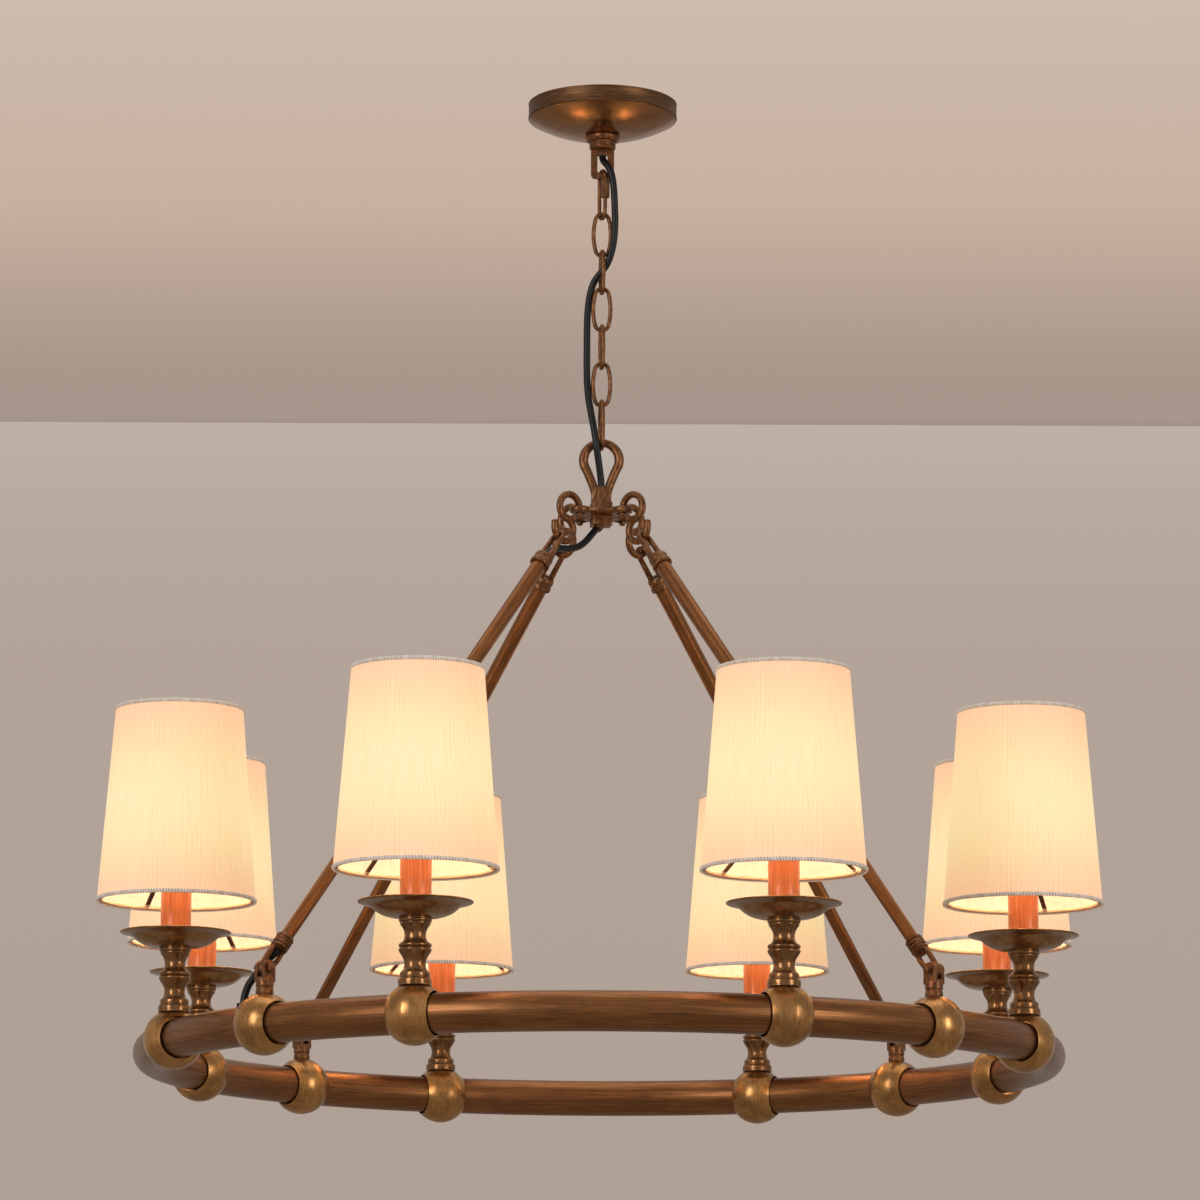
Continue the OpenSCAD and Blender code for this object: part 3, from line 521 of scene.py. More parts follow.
CORD_R = 0.003
CHAIN_ROUTE = mm([
    (0, 0, -46), (0.1, -0.2, -48.5), (0.9, -2.2, -51.2), (2.4, -5, -54), (4.8, -7.2, -57.5),
    (7.3, -8.6, -63), (8.9, -9.2, -69.5), (10.2, -9, -81), (10.9, -8, -95), (11.2, -7, -109),
    (10.3, -6, -123), (8.2, -4.8, -134), (4.8, -3, -143.5), (0.6, -1, -149.5), (-3.6, 0.8, -154.5),
    (-7.2, 2, -160), (-9.9, 2.8, -168), (-11.6, 3.4, -178), (-12.6, 3, -190), (-12.9, 2.4, -205),
    (-12.9, 2.2, -220), (-12.9, 1.6, -235), (-12.5, 0.4, -250), (-11.3, -1.6, -264), (-9.2, -4, -277),
    (-7.1, -6.2, -288.5), (-5.4, -7.3, -299), (-3.9, -6.9, -310), (-2.2, -4.2, -321.5),
    (-0.7, -1.3, -332.4), (-0.1, -0.2, -338.4), (0, 0, -341.3), (0, 0, -342.3)
])
HUB_ROUTE = mm([
    (5.5, 0, -379.5), (7, 0, -381), (10, 0, -384), (13.2, 0, -387.2), (16.5, 0, -390.5),
    (20.2, 0, -393.7), (24.2, 0, -396.5), (28.5, 0, -398.8), (33.1, 0, -400.5), (37.2, 0, -401.5),
    (41, 0, -402.1), (45.2, 0, -402.5), (48.6, 0, -402.9), (51.8, 0, -403.4), (55.3, 0, -404.3),
    (59.1, 0, -405.9), (62.6, 0, -407.9), (65.1, 0, -409.8), (67.1, 0, -411.8)
])
FOOT_ROUTE = mm([
    (364.83, 0, -775.53), (366.29, 0, -777.3), (368.1, -2, -779.9), (369.7, -5.2, -782.6),
    (370.9, -9, -786.2), (371.6, -12.6, -790.6), (372.2, -14.3, -792.8), (373.2, -17, -795.8),
    (374.1, -19.6, -798.9), (375, -21.9, -802.2), (375.6, -23.7, -805.8), (376.1, -25, -809.5),
    (376.5, -25.9, -813.4), (376.6, -26.3, -816.4), (376.6, -26.3, -817.4)
])
# Shares of the chain cord's length where one of its pieces ends and the next begins, the bodies
# that they hang between, and the heights of the joints that they bend across
CHAIN_CUTS = [0.0, 0.124, 0.243, 0.362, 0.484, 0.604, 0.724, 0.846, 1.0]
CHAIN_BODIES = ["ceiling_mount", "quick_link", "link_1", "link_2", "link_3", "link_4", "link_5",
                "link_6", "hub"]
CHAIN_JOINTS = [-0.0645, -0.1028, -0.1363, -0.1697, -0.2031, -0.2365, -0.2699, -0.3086]
# Pieces whose ends are listed from their lower body
FROM_BELOW = (3,)
CORD_STEP = 0.0016
# How far a bend reaches to each side of its joint, and the least that it leaves at a piece's end
BEND_REACH, END_LEFT = 0.012, 0.001


CORD = plain_finish("cord_sheath", (0.003, 0.003, 0.004), (0.008, 0.008, 0.010), 900, 0.0, (0.34, 0.48),
                    detail=3, coarser=160 / 900, Specular_IOR_Level=0.35)


def cord_piece(name, points):
    obj = make(name, *sweep(points, CORD_R, 24), angle=60)
    obj.data.materials.append(CORD)
    return obj


chain_line = even(spline(CHAIN_ROUTE, 10), CORD_STEP)
for k, joint in enumerate(CHAIN_JOINTS):
    lo = round(CHAIN_CUTS[k] * (len(chain_line) - 1))
    hi = round(CHAIN_CUTS[k + 1] * (len(chain_line) - 1))
    points = chain_line[lo:hi + 1]
    piece = cord_piece(f"cord_chain_{k + 1}", points)
    top = min(joint + BEND_REACH, points[0].z - END_LEFT)
    low = max(joint - BEND_REACH, points[-1].z + END_LEFT)
    ends = [(CHAIN_BODIES[k], (0, 0, top)), (CHAIN_BODIES[k + 1], (0, 0, low))]
    if k in FROM_BELOW:
        ends = ends[::-1]
    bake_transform(piece)
    if k == 0:
        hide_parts("cord_chain")

turn = at_azimuth(CORD_AZ)
hub_line = even(spline([turn @ Vector(p) for p in HUB_ROUTE], 10), CORD_STEP)
piece = cord_piece("cord_to_rod", hub_line)
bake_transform(piece)
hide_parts("cord_hub")

foot_line = even(spline([turn @ Vector(p) for p in FOOT_ROUTE], 10), CORD_STEP)
piece = cord_piece("cord_to_ring", foot_line)
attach(piece, "ring")
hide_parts("cord_foot")


# ---- finishes

bronze_ring = streaked("bronze_ring", 26, 620, (0.120, 0.047, 0.016), (0.220, 0.090, 0.031),
                       (0.385, 0.158, 0.055), 0.8, (0.24, 0.44), coords="ring")
bronze_rod = streaked("bronze_rod", 26, 620, (0.105, 0.038, 0.012), (0.235, 0.088, 0.028),
                      (0.420, 0.165, 0.055), 0.75, (0.24, 0.40))
bronze_turned = streaked("bronze_turned", 90, 300, (0.100, 0.045, 0.017), (0.230, 0.110, 0.043),
                         (0.420, 0.210, 0.085), 0.8, (0.16, 0.32), patches=60.0)
bronze_pan = streaked("bronze_pan", 60, 200, (0.160, 0.076, 0.028), (0.300, 0.150, 0.057),
                      (0.460, 0.245, 0.098), 0.8, (0.18, 0.32), patches=45.0)
# The sleeve's weak orange emission is painted light: a glow that stands in for the bulbs' light falling on
# it.
copper_sleeve_with_painted_glow = streaked("copper_sleeve_with_painted_glow", 22, 700, (0.300, 0.072, 0.019), (0.480, 0.128, 0.034),
                         (0.620, 0.210, 0.062), 0.1, (0.24, 0.40), patches=40.0,
                         Coat_Weight=0.15, Coat_Roughness=0.15,
                         Emission_Color=(0.80, 0.17, 0.03, 1), Emission_Strength=0.08)
rust = streaked("rusty_bronze", 180, 420, (0.052, 0.021, 0.009), (0.160, 0.064, 0.025),
                (0.400, 0.172, 0.066), 0.70, (0.28, 0.48), patches=120.0, depth=0.00010)


def gold_finish():
    """Aged gold balls: strokes that run round the mouths, brown where it is worn in."""
    m = Paint("aged_gold", Metallic=0.9)
    along, section = m.ring_coords()
    v = m.join(m.times(along, 900), m.times(m.cos(section), 2.4), m.times(m.sin(section), 2.4))
    strokes = m.noise(v, 1.0, 5, 0.65, 0.2)
    patches = m.noise(m.coords, 46, 4, 0.6, 0.5)
    colour = m.ramp(strokes, (0.26, (0.400, 0.190, 0.062)), (0.5, (0.560, 0.285, 0.100)),
                    (0.76, (0.720, 0.385, 0.140)))
    colour = m.mix(m.ramp(patches, (0.40, 0.55), (0.62, 0.0)), colour, (0.190, 0.090, 0.036))
    return m.done(colour, m.plus(0.19, m.times(strokes, 0.20)), strokes, 0.00002)


def canopy_finish():
    """Spun canopy: fine rings from the polishing wheel over a mottled bronze."""
    m = Paint("bronze_canopy", Metallic=0.9)
    x, y, z = m.place()
    angle = m.math("ARCTAN2", y, x)
    out = m.distance(x, y)
    rings = m.noise(m.join(m.times(out, 1500), m.times(z, 900), 0.0), 1.0, 3, 0.6)
    clouds = m.noise(m.coords, 30, 5, 0.6, 0.6)
    smears = m.noise(m.join(m.cos(angle), m.sin(angle), m.times(z, 380)), 4.0, 4, 0.65)
    colour = m.ramp(clouds, (0.32, (0.200, 0.088, 0.030)), (0.52, (0.330, 0.150, 0.052)),
                    (0.70, (0.470, 0.225, 0.085)))
    colour = m.mix(m.ramp(rings, (0.35, 0.0), (0.7, 0.30)), colour, (0.420, 0.215, 0.095))
    rim = m.ramp(m.times(m.minus(out, CANOPY_R - 0.0012), 1000.0), (0.0, 0.0), (0.4, 1.0))
    dull = m.ramp(smears, (0.36, (0.070, 0.033, 0.015)), (0.66, (0.215, 0.105, 0.048)))
    smooth_part = m.plus(0.13, m.times(m.plus(rings, clouds), 0.09))
    return m.done(m.mix(rim, colour, dull), m.plus(smooth_part, m.times(rim, 0.26)), rings, 0.00003)


gold = gold_finish()
canopy_bronze = canopy_finish()
zinc = plain_finish("zinc_plate", (0.42, 0.42, 0.40), (0.58, 0.58, 0.56), 260, 0.9, (0.30, 0.45))
ivory = plain_finish("ivory_block", (0.70, 0.66, 0.54), (0.80, 0.76, 0.64), 300, 0.0, (0.35, 0.5))
brass = plain_finish("plain_brass", (0.42, 0.28, 0.11), (0.58, 0.40, 0.17), 300, 0.9, (0.25, 0.4))
holder = plain_finish("dark_holder", (0.016, 0.014, 0.013), (0.030, 0.027, 0.025), 400, 0.0, (0.35, 0.5))


def dress(node, material):
    """Gives a CAD node its finish."""
    data = NODE[node].data
    data.materials.clear()
    data.materials.append(material)
    for polygon in data.polygons:
        polygon.material_index = 0


LINKS = [f"link_{i}" for i in range(1, 7)]
HOOKS = [f"s_hook_{i}" for i in range(1, 5)]
for material, nodes in (
        (zinc, ["crossbar"]), (ivory, ["terminal_block"]), (brass, ["nipple", "candle_stems"]),
        (rust, ["stirrup_loop", "ring_nut", "quick_link", "quick_link_nut", "hub", *LINKS, *HOOKS,
                "clevises", "clevis_pins", "rod_ends"]),
        (bronze_rod, ["rods"]), (bronze_ring, ["ring_tube"]), (gold, ["candle_balls", "rod_balls"]),
        (bronze_turned, ["balusters"]), (bronze_pan, ["drip_pans"]), (copper_sleeve_with_painted_glow, ["candle_sleeves"]),
        (holder, ["lampholders"]), (CORD, ["cord_grommet"]), (canopy_bronze, ["canopy_cover"])):
    for node in nodes:
        dress(node, material)


def finish(obj, material, slot_name, body, *nodes):
    """Gives a piece its material and its body, and hides the CAD nodes that it stands for; its slot name is
    not used.
    """
    obj.data.materials.append(material)
    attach(obj, body)
    if nodes:
        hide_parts(*nodes)


# ---- canopy

NUT_R, DOME_R, RIM_R = 0.0120, 0.0165, CANOPY_R - 0.0018
DOME_RISE, DOME_BELLY, DOME_STEPS = 0.0136, 0.0031, 12
OUTSIDE, INSIDE = -0.0281, -0.0269


def dome(t, start):
    """A share t of the way from the nut's seat to the rim, its height there being start."""
    return DOME_R + (RIM_R - DOME_R) * t, start + DOME_RISE * t - DOME_BELLY * sin(pi * t) ** 0.9


canopy_profile = [(NUT_R, OUTSIDE + 0.0001), (DOME_R, OUTSIDE)]
canopy_profile += [dome(k / DOME_STEPS, OUTSIDE) for k in range(1, DOME_STEPS + 1)]
canopy_profile += [(CANOPY_R - inwards, z) for inwards, z in mm([
    (0.6, -13.9), (0, -13.1), (0, -12), (0.3, -11.4), (0.3, -1.6), (0, -1), (0, -0.3), (0.4, 0),
    (1.2, 0), (1.2, -12.5)])]
canopy_profile += [dome(k / DOME_STEPS, INSIDE) for k in range(DOME_STEPS - 1, 0, -1)]
canopy_profile += [(DOME_R, INSIDE), (NUT_R, INSIDE + 0.0001)]
finish(make("canopy_shell", *lathe(canopy_profile, 160, closed=True), angle=35), canopy_bronze, "bronze",
       "canopy", "canopy_cover")

NUT_LOW = -0.034
nut_profile = mm([
    (11.95, 0), (12.7, 0), (13.8, 0.6), (14.6, 1.8), (15, 2.6), (15, 4.6), (14.6, 5.5), (14, 6),
    (11.95, 6)
], NUT_LOW)
finish(make("canopy_nut", *lathe(nut_profile, 96, closed=True), angle=35), rust, "rust", "canopy",
       "ring_nut")


# ---- stirrup under the canopy

STIRRUP_LOW, SLOT_TOP, SLOT_LOW, BARREL_LOW, STIRRUP_T = -0.067, -0.046, -0.062, -0.041, 0.005
# The cord's bore through the stirrup, the hub and its gland
BORE = 0.0025
BARREL_TOP, THREADS, PITCH = -0.020, 9, 0.0022
barrel = [(0.0, BARREL_TOP), (0.0112, BARREL_TOP)]
for k in range(THREADS):
    barrel += mm([(11.65, -1), (11.65, -1.9), (11.05, -2.3), (11.05, -2.8)], BARREL_TOP - PITCH * k)
barrel += [(0.0112, -0.0402), (0.0106, BARREL_LOW), (0.0, BARREL_LOW)]
barrel_part = lathe(barrel[::-1], 72)
outer = soft_corners([(-0.0102, -0.0395), (-0.0102, STIRRUP_LOW), (0.0102, STIRRUP_LOW),
                      (0.0102, -0.0395)], [0.0002, 0.0052, 0.0052, 0.0002], 8)
inner = soft_corners([(-0.0044, SLOT_TOP), (-0.0044, SLOT_LOW), (0.0044, SLOT_LOW), (0.0044, SLOT_TOP)],
                     [0.0016, 0.0022, 0.0022, 0.0016], 6)


def ring_plate(outer, inner, low, high):
    """A plate with a window: outlines in the XZ plane, thickness along Y."""
    bm = bmesh.new()
    edges = []
    for outline in (outer, inner):
        loop = [bm.verts.new((x, low, z)) for x, z in outline]
        edges += [bm.edges.new(pair) for pair in zip(loop, loop[1:] + loop[:1])]
    filled = bmesh.ops.triangle_fill(bm, edges=edges, use_beauty=True)
    faces = [g for g in filled["geom"] if isinstance(g, bmesh.types.BMFace)]
    grown = bmesh.ops.extrude_face_region(bm, geom=faces)
    top = [g for g in grown["geom"] if isinstance(g, bmesh.types.BMVert)]
    bmesh.ops.translate(bm, verts=top, vec=(0, high - low, 0))
    bmesh.ops.recalc_face_normals(bm, faces=bm.faces)
    bm.verts.ensure_lookup_table()
    bm.verts.index_update()
    verts = [v.co.copy() for v in bm.verts]
    out = [tuple(v.index for v in f.verts) for f in bm.faces]
    bm.free()
    return verts, out


plate = ring_plate(outer, inner, -STIRRUP_T / 2, STIRRUP_T / 2)
stirrup = fused("stirrup", joined(barrel_part, plate), 0.00028,
                cuts=[cylinder(BORE, -0.065, -0.015, 32)], relax=3)
finish(stirrup, rust, "rust", "ceiling_mount", "stirrup_loop")


# ---- chain

QUICK_TOP, LINK_1_TOP, LINK_STEP = -0.0583, -0.0972, 0.0334
QUICK_TURN, LINK_TURN = 28, 10
# Outer length and width, wire, and how far round each long side bulges, in degrees
LINK_LENGTH, LONG_LINK, LINK_W, LINK_WIRE, LINK_SIDE = 0.0409, 0.0462, 0.0186, 0.0036, 14
QUICK_LENGTH, QUICK_W, QUICK_WIRE, QUICK_SIDE = 0.0462, 0.0140, 0.0034, 2


def oval_line(length, width, wire, side_a):
    """The centre line of an oval link, its outermost point at the origin."""
    a, b, s = (length - wire) / 2, (width - wire) / 2, radians(side_a)
    end_r = (b - a * tan(s / 2)) / (cos(s) - (1 - sin(s)) * tan(s / 2))
    side_r = (a - end_r * (1 - sin(s))) / sin(s)
    half = upright(arc(0, a - end_r, end_r, s, pi - s, 14)[:-1]
                   + arc(side_r - b, 0, side_r, pi - s, pi + s, 14)[:-1])
    drop = Vector((0, 0, -length / 2))
    return [drop + Vector(p) for p in half] + [drop - Vector(p) for p in half]


def worn_shape(seed, amount):
    """Small irregularities of a hand-bent bar, the same on each run."""
    def shape(u, a):
        return 1 + amount * (sin(TAU * (3 * u) + seed) * cos(a + seed * 1.7)
                             + 0.6 * sin(TAU * 7 * u + 2.3 * seed + 2 * a))
    return shape


for i, node in enumerate(LINKS, 1):
    length = LONG_LINK if i == len(LINKS) else LINK_LENGTH
    part = sweep(oval_line(length, LINK_W, LINK_WIRE, LINK_SIDE), LINK_WIRE / 2, 20, closed=True,
                 first=(0, 1, 0), shape=worn_shape(i, 0.018))
    matrix = shift(0, 0, LINK_1_TOP - (i - 1) * LINK_STEP) @ turned(0 if i % 2 else 90 + LINK_TURN)
    finish(make(f"chain_link_{i}", *part, matrix, 60), rust, "rust", node, node)

quick_turn = turned(QUICK_TURN - 90)
part = sweep(oval_line(QUICK_LENGTH, QUICK_W, QUICK_WIRE, QUICK_SIDE), QUICK_WIRE / 2, 20, closed=True,
             first=(0, 1, 0), shape=worn_shape(9, 0.012))
finish(make("quick_link_bar", *part, shift(0, 0, QUICK_TOP) @ quick_turn, 60), rust, "rust",
       "quick_link", "quick_link")
SLEEVE_BORE, ACROSS_FLATS = 0.0025, 0.0066
verts, faces = lathe(mm([(2, -9), (3.1, -9), (3.6, -8.4), (3.8, -7.6), (3.8, 7.6), (3.6, 8.4), (3.1, 9),
                         (2, 9)]), 48, closed=True)
hexed = []
for x, y, z in verts:
    r, a = hypot(x, y), atan2(y, x)
    flat = ACROSS_FLATS / 2 / cos((a % (TAU / 6)) - TAU / 12)
    k = min(1.0, flat / r) if r > SLEEVE_BORE else 1.0
    hexed.append((x * k, y * k, z))
finish(make("quick_link_sleeve", hexed, faces, quick_turn @ shift(0.0053, 0, -0.0763), 30),
       rust, "rust", "quick_link_nut", "quick_link_nut")


# ---- hub

PLATE_Z, HUB_TOP = -0.366, -0.2995
LOOP_R, LOOP_WIRE = 0.0154, 0.007
LOOP_Z = HUB_TOP - LOOP_WIRE / 2 - LOOP_R
NECK_LINE = mm([(13, -326.5), (9.8, -334), (6.8, -342), (4.8, -350), (4.2, -356)])
drop_line = ([(-x, z) for x, z in NECK_LINE[::-1]]
             + arc(0, LOOP_Z, LOOP_R, radians(208), radians(-20), 19) + NECK_LINE)


def loop_radius(u):
    """Half the loop's wire: stouter at its sides and where it runs into the neck."""
    return 0.0035 + 0.0006 * sin(TAU * u) ** 2 + 0.0004 * abs(2 * u - 1) ** 3


loop = sweep(spline(upright(drop_line), 5), loop_radius, 28, first=(0, 1, 0))
neck = lathe(mm([
    (0, -377), (7.2, -377), (8.6, -376.2), (9, -374.8), (9, -369), (9.8, -368), (10.4, -364),
    (10, -360), (9, -356), (7.8, -352), (7, -348), (6.2, -344.5), (5, -342.4), (0, -342.3)
]), 56)
web = prism(soft_corners(rectangle(-0.0088, -0.0042, 0.0088, 0.0042), 0.002), -0.3590, -0.3432)
block = moved(prism(soft_corners(rectangle(-0.0089, -0.0089, 0.0089, 0.0089), 0.0022), -0.3766, -0.3560),
              turned(9))
GLAND_FACE, GLAND_TOP, GLAND_R = 0.0055, -0.374, 0.0044
gland_line = at_azimuth(CORD_AZ, 0, GLAND_TOP) @ turned(135, "Y")
gland_l = GLAND_FACE * sqrt(2)
gland = moved(lathe([(0.0, 0.0), (GLAND_R, 0.0), (GLAND_R, gland_l - 0.0006), (GLAND_R - 0.0005, gland_l),
                     (0.0, gland_l)], 40), gland_line)
# The hook holes' radius, their distance from the axis, and that of the rounded arm ends
HOLE_R, HOLE_U, ARM_END_U = 0.0045, 0.025, 0.0265
lobe = lathe(mm([(0, -2.9), (6.8, -2.9), (8.2, -2), (8.6, 0), (8.2, 2), (6.8, 2.9), (0, 2.9)]), 40)
arm = prism(soft_corners([(0.004, -0.0072), (ARM_END_U, -0.0076), (ARM_END_U, 0.0076), (0.004, 0.0072)],
                         0.0005), -0.0028, 0.0028)
lobes = []
for azimuth in ROD_AZ:
    lobes.append(moved(lobe, at_azimuth(azimuth, ARM_END_U, PLATE_Z)))
    lobes.append(moved(arm, at_azimuth(azimuth, 0, PLATE_Z)))
disc = lathe(mm([(0, -2.1), (22.5, -2), (23.8, -1.2), (24, 0), (23.8, 1.2), (22.5, 2), (0, 2.1)],
                PLATE_Z), 64)
cuts = [moved(cylinder(HOLE_R, -0.01, 0.01, 36), at_azimuth(azimuth, HOLE_U, PLATE_Z))
        for azimuth in ROD_AZ]
cuts += [cylinder(BORE, -0.375, -0.315, 32), moved(cylinder(BORE, 0.0, 0.03, 32), gland_line)]
hub = fused("hub_casting", joined(loop, neck, web, block, gland, disc, *lobes), 0.00050, cuts=cuts,
            relax=5)
finish(hub, rust, "rust", "hub", "hub")


# ---- S hooks

HOOK_WIRE, HOOK_TOP_R, HOOK_LOW_R = 0.006, 0.012, 0.011
HOOK_IN, HOOK_LOW_U = 0.026, 0.045
HOOK_LOW_Z = APEX_Z - HOOK_LOW_U * tan(ROD_SLOPE)
HOOK_TAIL = 0.0045


def hook_line():
    """The centre line of an S hook: tail, upper bend, two sloping arcs, lower bend, tail."""
    out_u, in_u = HOOK_IN + 2 * HOOK_TOP_R, HOOK_LOW_U - HOOK_LOW_R
    drop = PLATE_Z - HOOK_LOW_Z
    bend = 2 * atan((out_u - in_u) / drop)
    r = drop / (2 * sin(bend))
    line = [(HOOK_IN, PLATE_Z - HOOK_TAIL * f) for f in (1.0, 0.75, 0.5, 0.25)]
    line += arc(HOOK_IN + HOOK_TOP_R, PLATE_Z, HOOK_TOP_R, pi, 0, 16)
    line += arc(out_u - r, PLATE_Z, r, 0, -bend, 8)[1:]
    line += arc(in_u + r, HOOK_LOW_Z, r, pi - bend, pi, 8)[1:]
    line += arc(HOOK_LOW_U, HOOK_LOW_Z, HOOK_LOW_R, pi, TAU, 16)[1:]
    u, z = line[-1]
    return upright(line + [(u, z + HOOK_TAIL * f) for f in (0.25, 0.5, 0.75, 1.0)])


def hook_shape(seed):
    """Round at the ends, hammered a little flat and wide in the middle."""
    worn = worn_shape(seed, 0.014)

    def shape(u, a):
        middle = exp(-((u - 0.5) / 0.13) ** 2)
        return worn(u, a) * (1 - 0.12 * middle * cos(a) ** 2 + 0.16 * middle * sin(a) ** 2)
    return shape


for i, azimuth in enumerate(ROD_AZ, 1):
    part = sweep(hook_line(), HOOK_WIRE / 2, 24, first=(0, 1, 0), shape=hook_shape(i), round_ends=3)
    finish(make(f"hanger_hook_{i}", *part, at_azimuth(azimuth), 60), rust, "rust", f"s_hook_{i}",
           f"s_hook_{i}")


# ---- rods and their fittings

FOOT_GAP = 0.022
# Lengths with _S count along the rod from the clevis pin, and those with _U out from the axis
ROD_TOP_U, CLEARANCE, EYE_SUNK = 0.0671, 0.0003, 0.003
ROD_TOP_S = (RING_R - ROD_TOP_U) / cos(ROD_SLOPE)
FERRULE_S = ROD_TOP_S - 0.012
HOOK_S = (RING_R - HOOK_LOW_U) / cos(ROD_SLOPE) - HOOK_LOW_R
EYE_R, EYE_WIRE = 0.006, 0.0044
EYE_S = HOOK_S + HOOK_WIRE / 2 + CLEARANCE + EYE_WIRE / 2 - EYE_R
STRAP_T = 0.0046
ROD_BORE = 0.0035
rod_part = lathe([(ROD_BORE, FOOT_GAP), (0.0053, FOOT_GAP), (0.0065, ROD_TOP_S - 0.002),
                  (ROD_BORE, ROD_TOP_S - 0.002)], 48, closed=True)

ferrule = lathe(mm([
    (6.6, 0), (8.2, -0.2), (8.8, 0.5), (8.9, 1.6), (8.7, 3), (8.1, 4), (8, 5), (8.3, 7), (8.3, 9.2),
    (7.8, 11), (6.8, 12), (2.5, 12), (2.5, 10), (6.6, 10)
], FERRULE_S), 64, closed=True)
eye_side = [(-EYE_R, ROD_TOP_S - EYE_SUNK), (-EYE_R, (ROD_TOP_S + EYE_S) / 2)]
eye = eye_side + arc(0, EYE_S, EYE_R, pi, 0, 16) + [(-y, z) for y, z in eye_side[::-1]]
eye_part = sweep([(0, y, z) for y, z in eye], lambda u: EYE_WIRE / 2 + 0.0005 * abs(2 * u - 1) ** 6,
                 20, first=(1, 0, 0))

WINDINGS, WINDING_PITCH, WINDING_R = 4, 0.0032, 0.0015
collar_profile = mm([(2.5, -2), (6, -2), (6.8, -1.2)], FOOT_GAP)
for k in range(WINDINGS):
    collar_profile += arc(0.0060, FOOT_GAP + 0.0013 + WINDING_PITCH * k, WINDING_R, -pi / 2,
                          pi / 2, 6)
collar_profile += mm([(6.4, 13), (5.6, 13.2), (5.37, 13), (5.35, 0), (2.5, 0)], FOOT_GAP)


def wound(part, amount):
    """Tilts the collar's rings into a loose winding."""
    verts = []
    for x, y, z in part[0]:
        r, a = hypot(x, y), atan2(y, x)
        if r > 0.0061:
            z += amount * cos(a + z / WINDING_PITCH * 2.1)
            k = 1 + 0.016 * sin(3 * a + z / WINDING_PITCH * 4)
            x, y = x * k, y * k
        verts.append((x, y, z))
    return verts, part[1]


collar_part = wound(lathe(collar_profile, 64, closed=True), 0.00035)

STRAP_R, WINDOW_R = 0.0061, 0.00255
strap_outer = arc(0, 0, STRAP_R, pi, TAU, 18)
strap_inner = arc(0, 0, WINDOW_R, pi, TAU, 18)
strap_outer += mm([
    (6.4, 5), (6.8, 11), (6.9, 16.5), (6.4, 20.5), (-6.4, 20.5), (-6.9, 16.5), (-6.8, 11), (-6.4, 5)
])
strap_inner += mm([
    (2.9, 5), (3.6, 11), (3.9, 16), (3.6, 19.6), (-3.6, 19.6), (-3.9, 16), (-3.6, 11), (-2.9, 5)
])
strap_part = ring_plate(strap_outer, strap_inner, -STRAP_T / 2, STRAP_T / 2)

for i, azimuth in enumerate(ROD_AZ, 1):
    base = along_rod(azimuth)
    finish(make(f"rod_{i}", *rod_part, base), bronze_rod, "bronze", "ring", "rods")
    top = beveled(make(f"rod_head_{i}", *joined(ferrule, eye_part), base, 45), 0.0002, 1, 50)
    finish(top, rust, "bronze", "ring", "rod_ends")
    strap = beveled(make(f"rod_strap_{i}", *strap_part, base, 35), 0.0007, 3, 40)
    finish(strap, rust, "bronze", "ring")
    finish(make(f"rod_collar_{i}", *collar_part, base, 60), rust, "bronze", "ring")


# ---- clevises

PIN_H = PIN_Z - RING_Z
BASE_LOW, BASE_TOP = 0.0234, 0.0379
PRONG_T, PRONG_R, PRONG_W = 0.0034, 0.0064, 0.0062
FORK = STRAP_T + 2 * CLEARANCE
clevis_base = lathe(mm([(0, 0), (6.4, 0), (7.1, 0.6), (7.25, 1.8), (7.25, 3.6), (6.8, 4.6), (6.7, 5.8),
                        (7.25, 7), (7.25, 11.5), (6.8, 13.7), (5.8, 14.5), (0, 14.5)], BASE_LOW), 56)
prong_end = (PRONG_R * 0.96, PIN_H)
prong_outline = [(-PRONG_W, BASE_TOP - 0.004), (PRONG_W, BASE_TOP - 0.004), prong_end,
                 *arc(0, PIN_H, PRONG_R, 0, pi, 14)[1:-1], (-prong_end[0], PIN_H)]
prongs = []
for side in (-1, 1):
    middle = -side * (FORK + PRONG_T) / 2
    prongs.append(moved(prism(prong_outline, middle - PRONG_T / 2, middle + PRONG_T / 2), turned(90, "X")))
PIN_R, HALF = 0.0025, FORK / 2 + PRONG_T
pin_part = moved(lathe([(0.0, -HALF - 0.0025), (0.0032, -HALF - 0.0025), (0.0040, -HALF - 0.0019),
                        (0.0040, -HALF - 0.0008), (0.0036, -HALF - 0.0003), (PIN_R, -HALF - 0.0003),
                        (PIN_R, HALF + 0.0032), (0.0020, HALF + 0.0036), (0.0, HALF + 0.0036)], 40),
                 shift(0, 0, PIN_H) @ turned(90, "X"))
cotter = sweep([(-0.0038, -HALF - 0.0021, PIN_H), (0.0, -HALF - 0.0023, PIN_H),
                (0.0026, -HALF - 0.0022, PIN_H), (0.0040, -HALF - 0.0030, PIN_H + 0.0006)],
               0.0007, 12, round_ends=2)
for i, azimuth in enumerate(ROD_AZ, 1):
    clevis = fused(f"clevis_{i}", joined(clevis_base, *prongs), 0.00032, relax=4, matrix=on_ring(azimuth))
    finish(clevis, rust, "rust", "ring", "clevises")
    pin = make(f"clevis_pin_{i}", *joined(pin_part, cotter), on_ring(azimuth), 40)
    finish(pin, rust, "gold", "ring", "clevis_pins")


# ---- candles

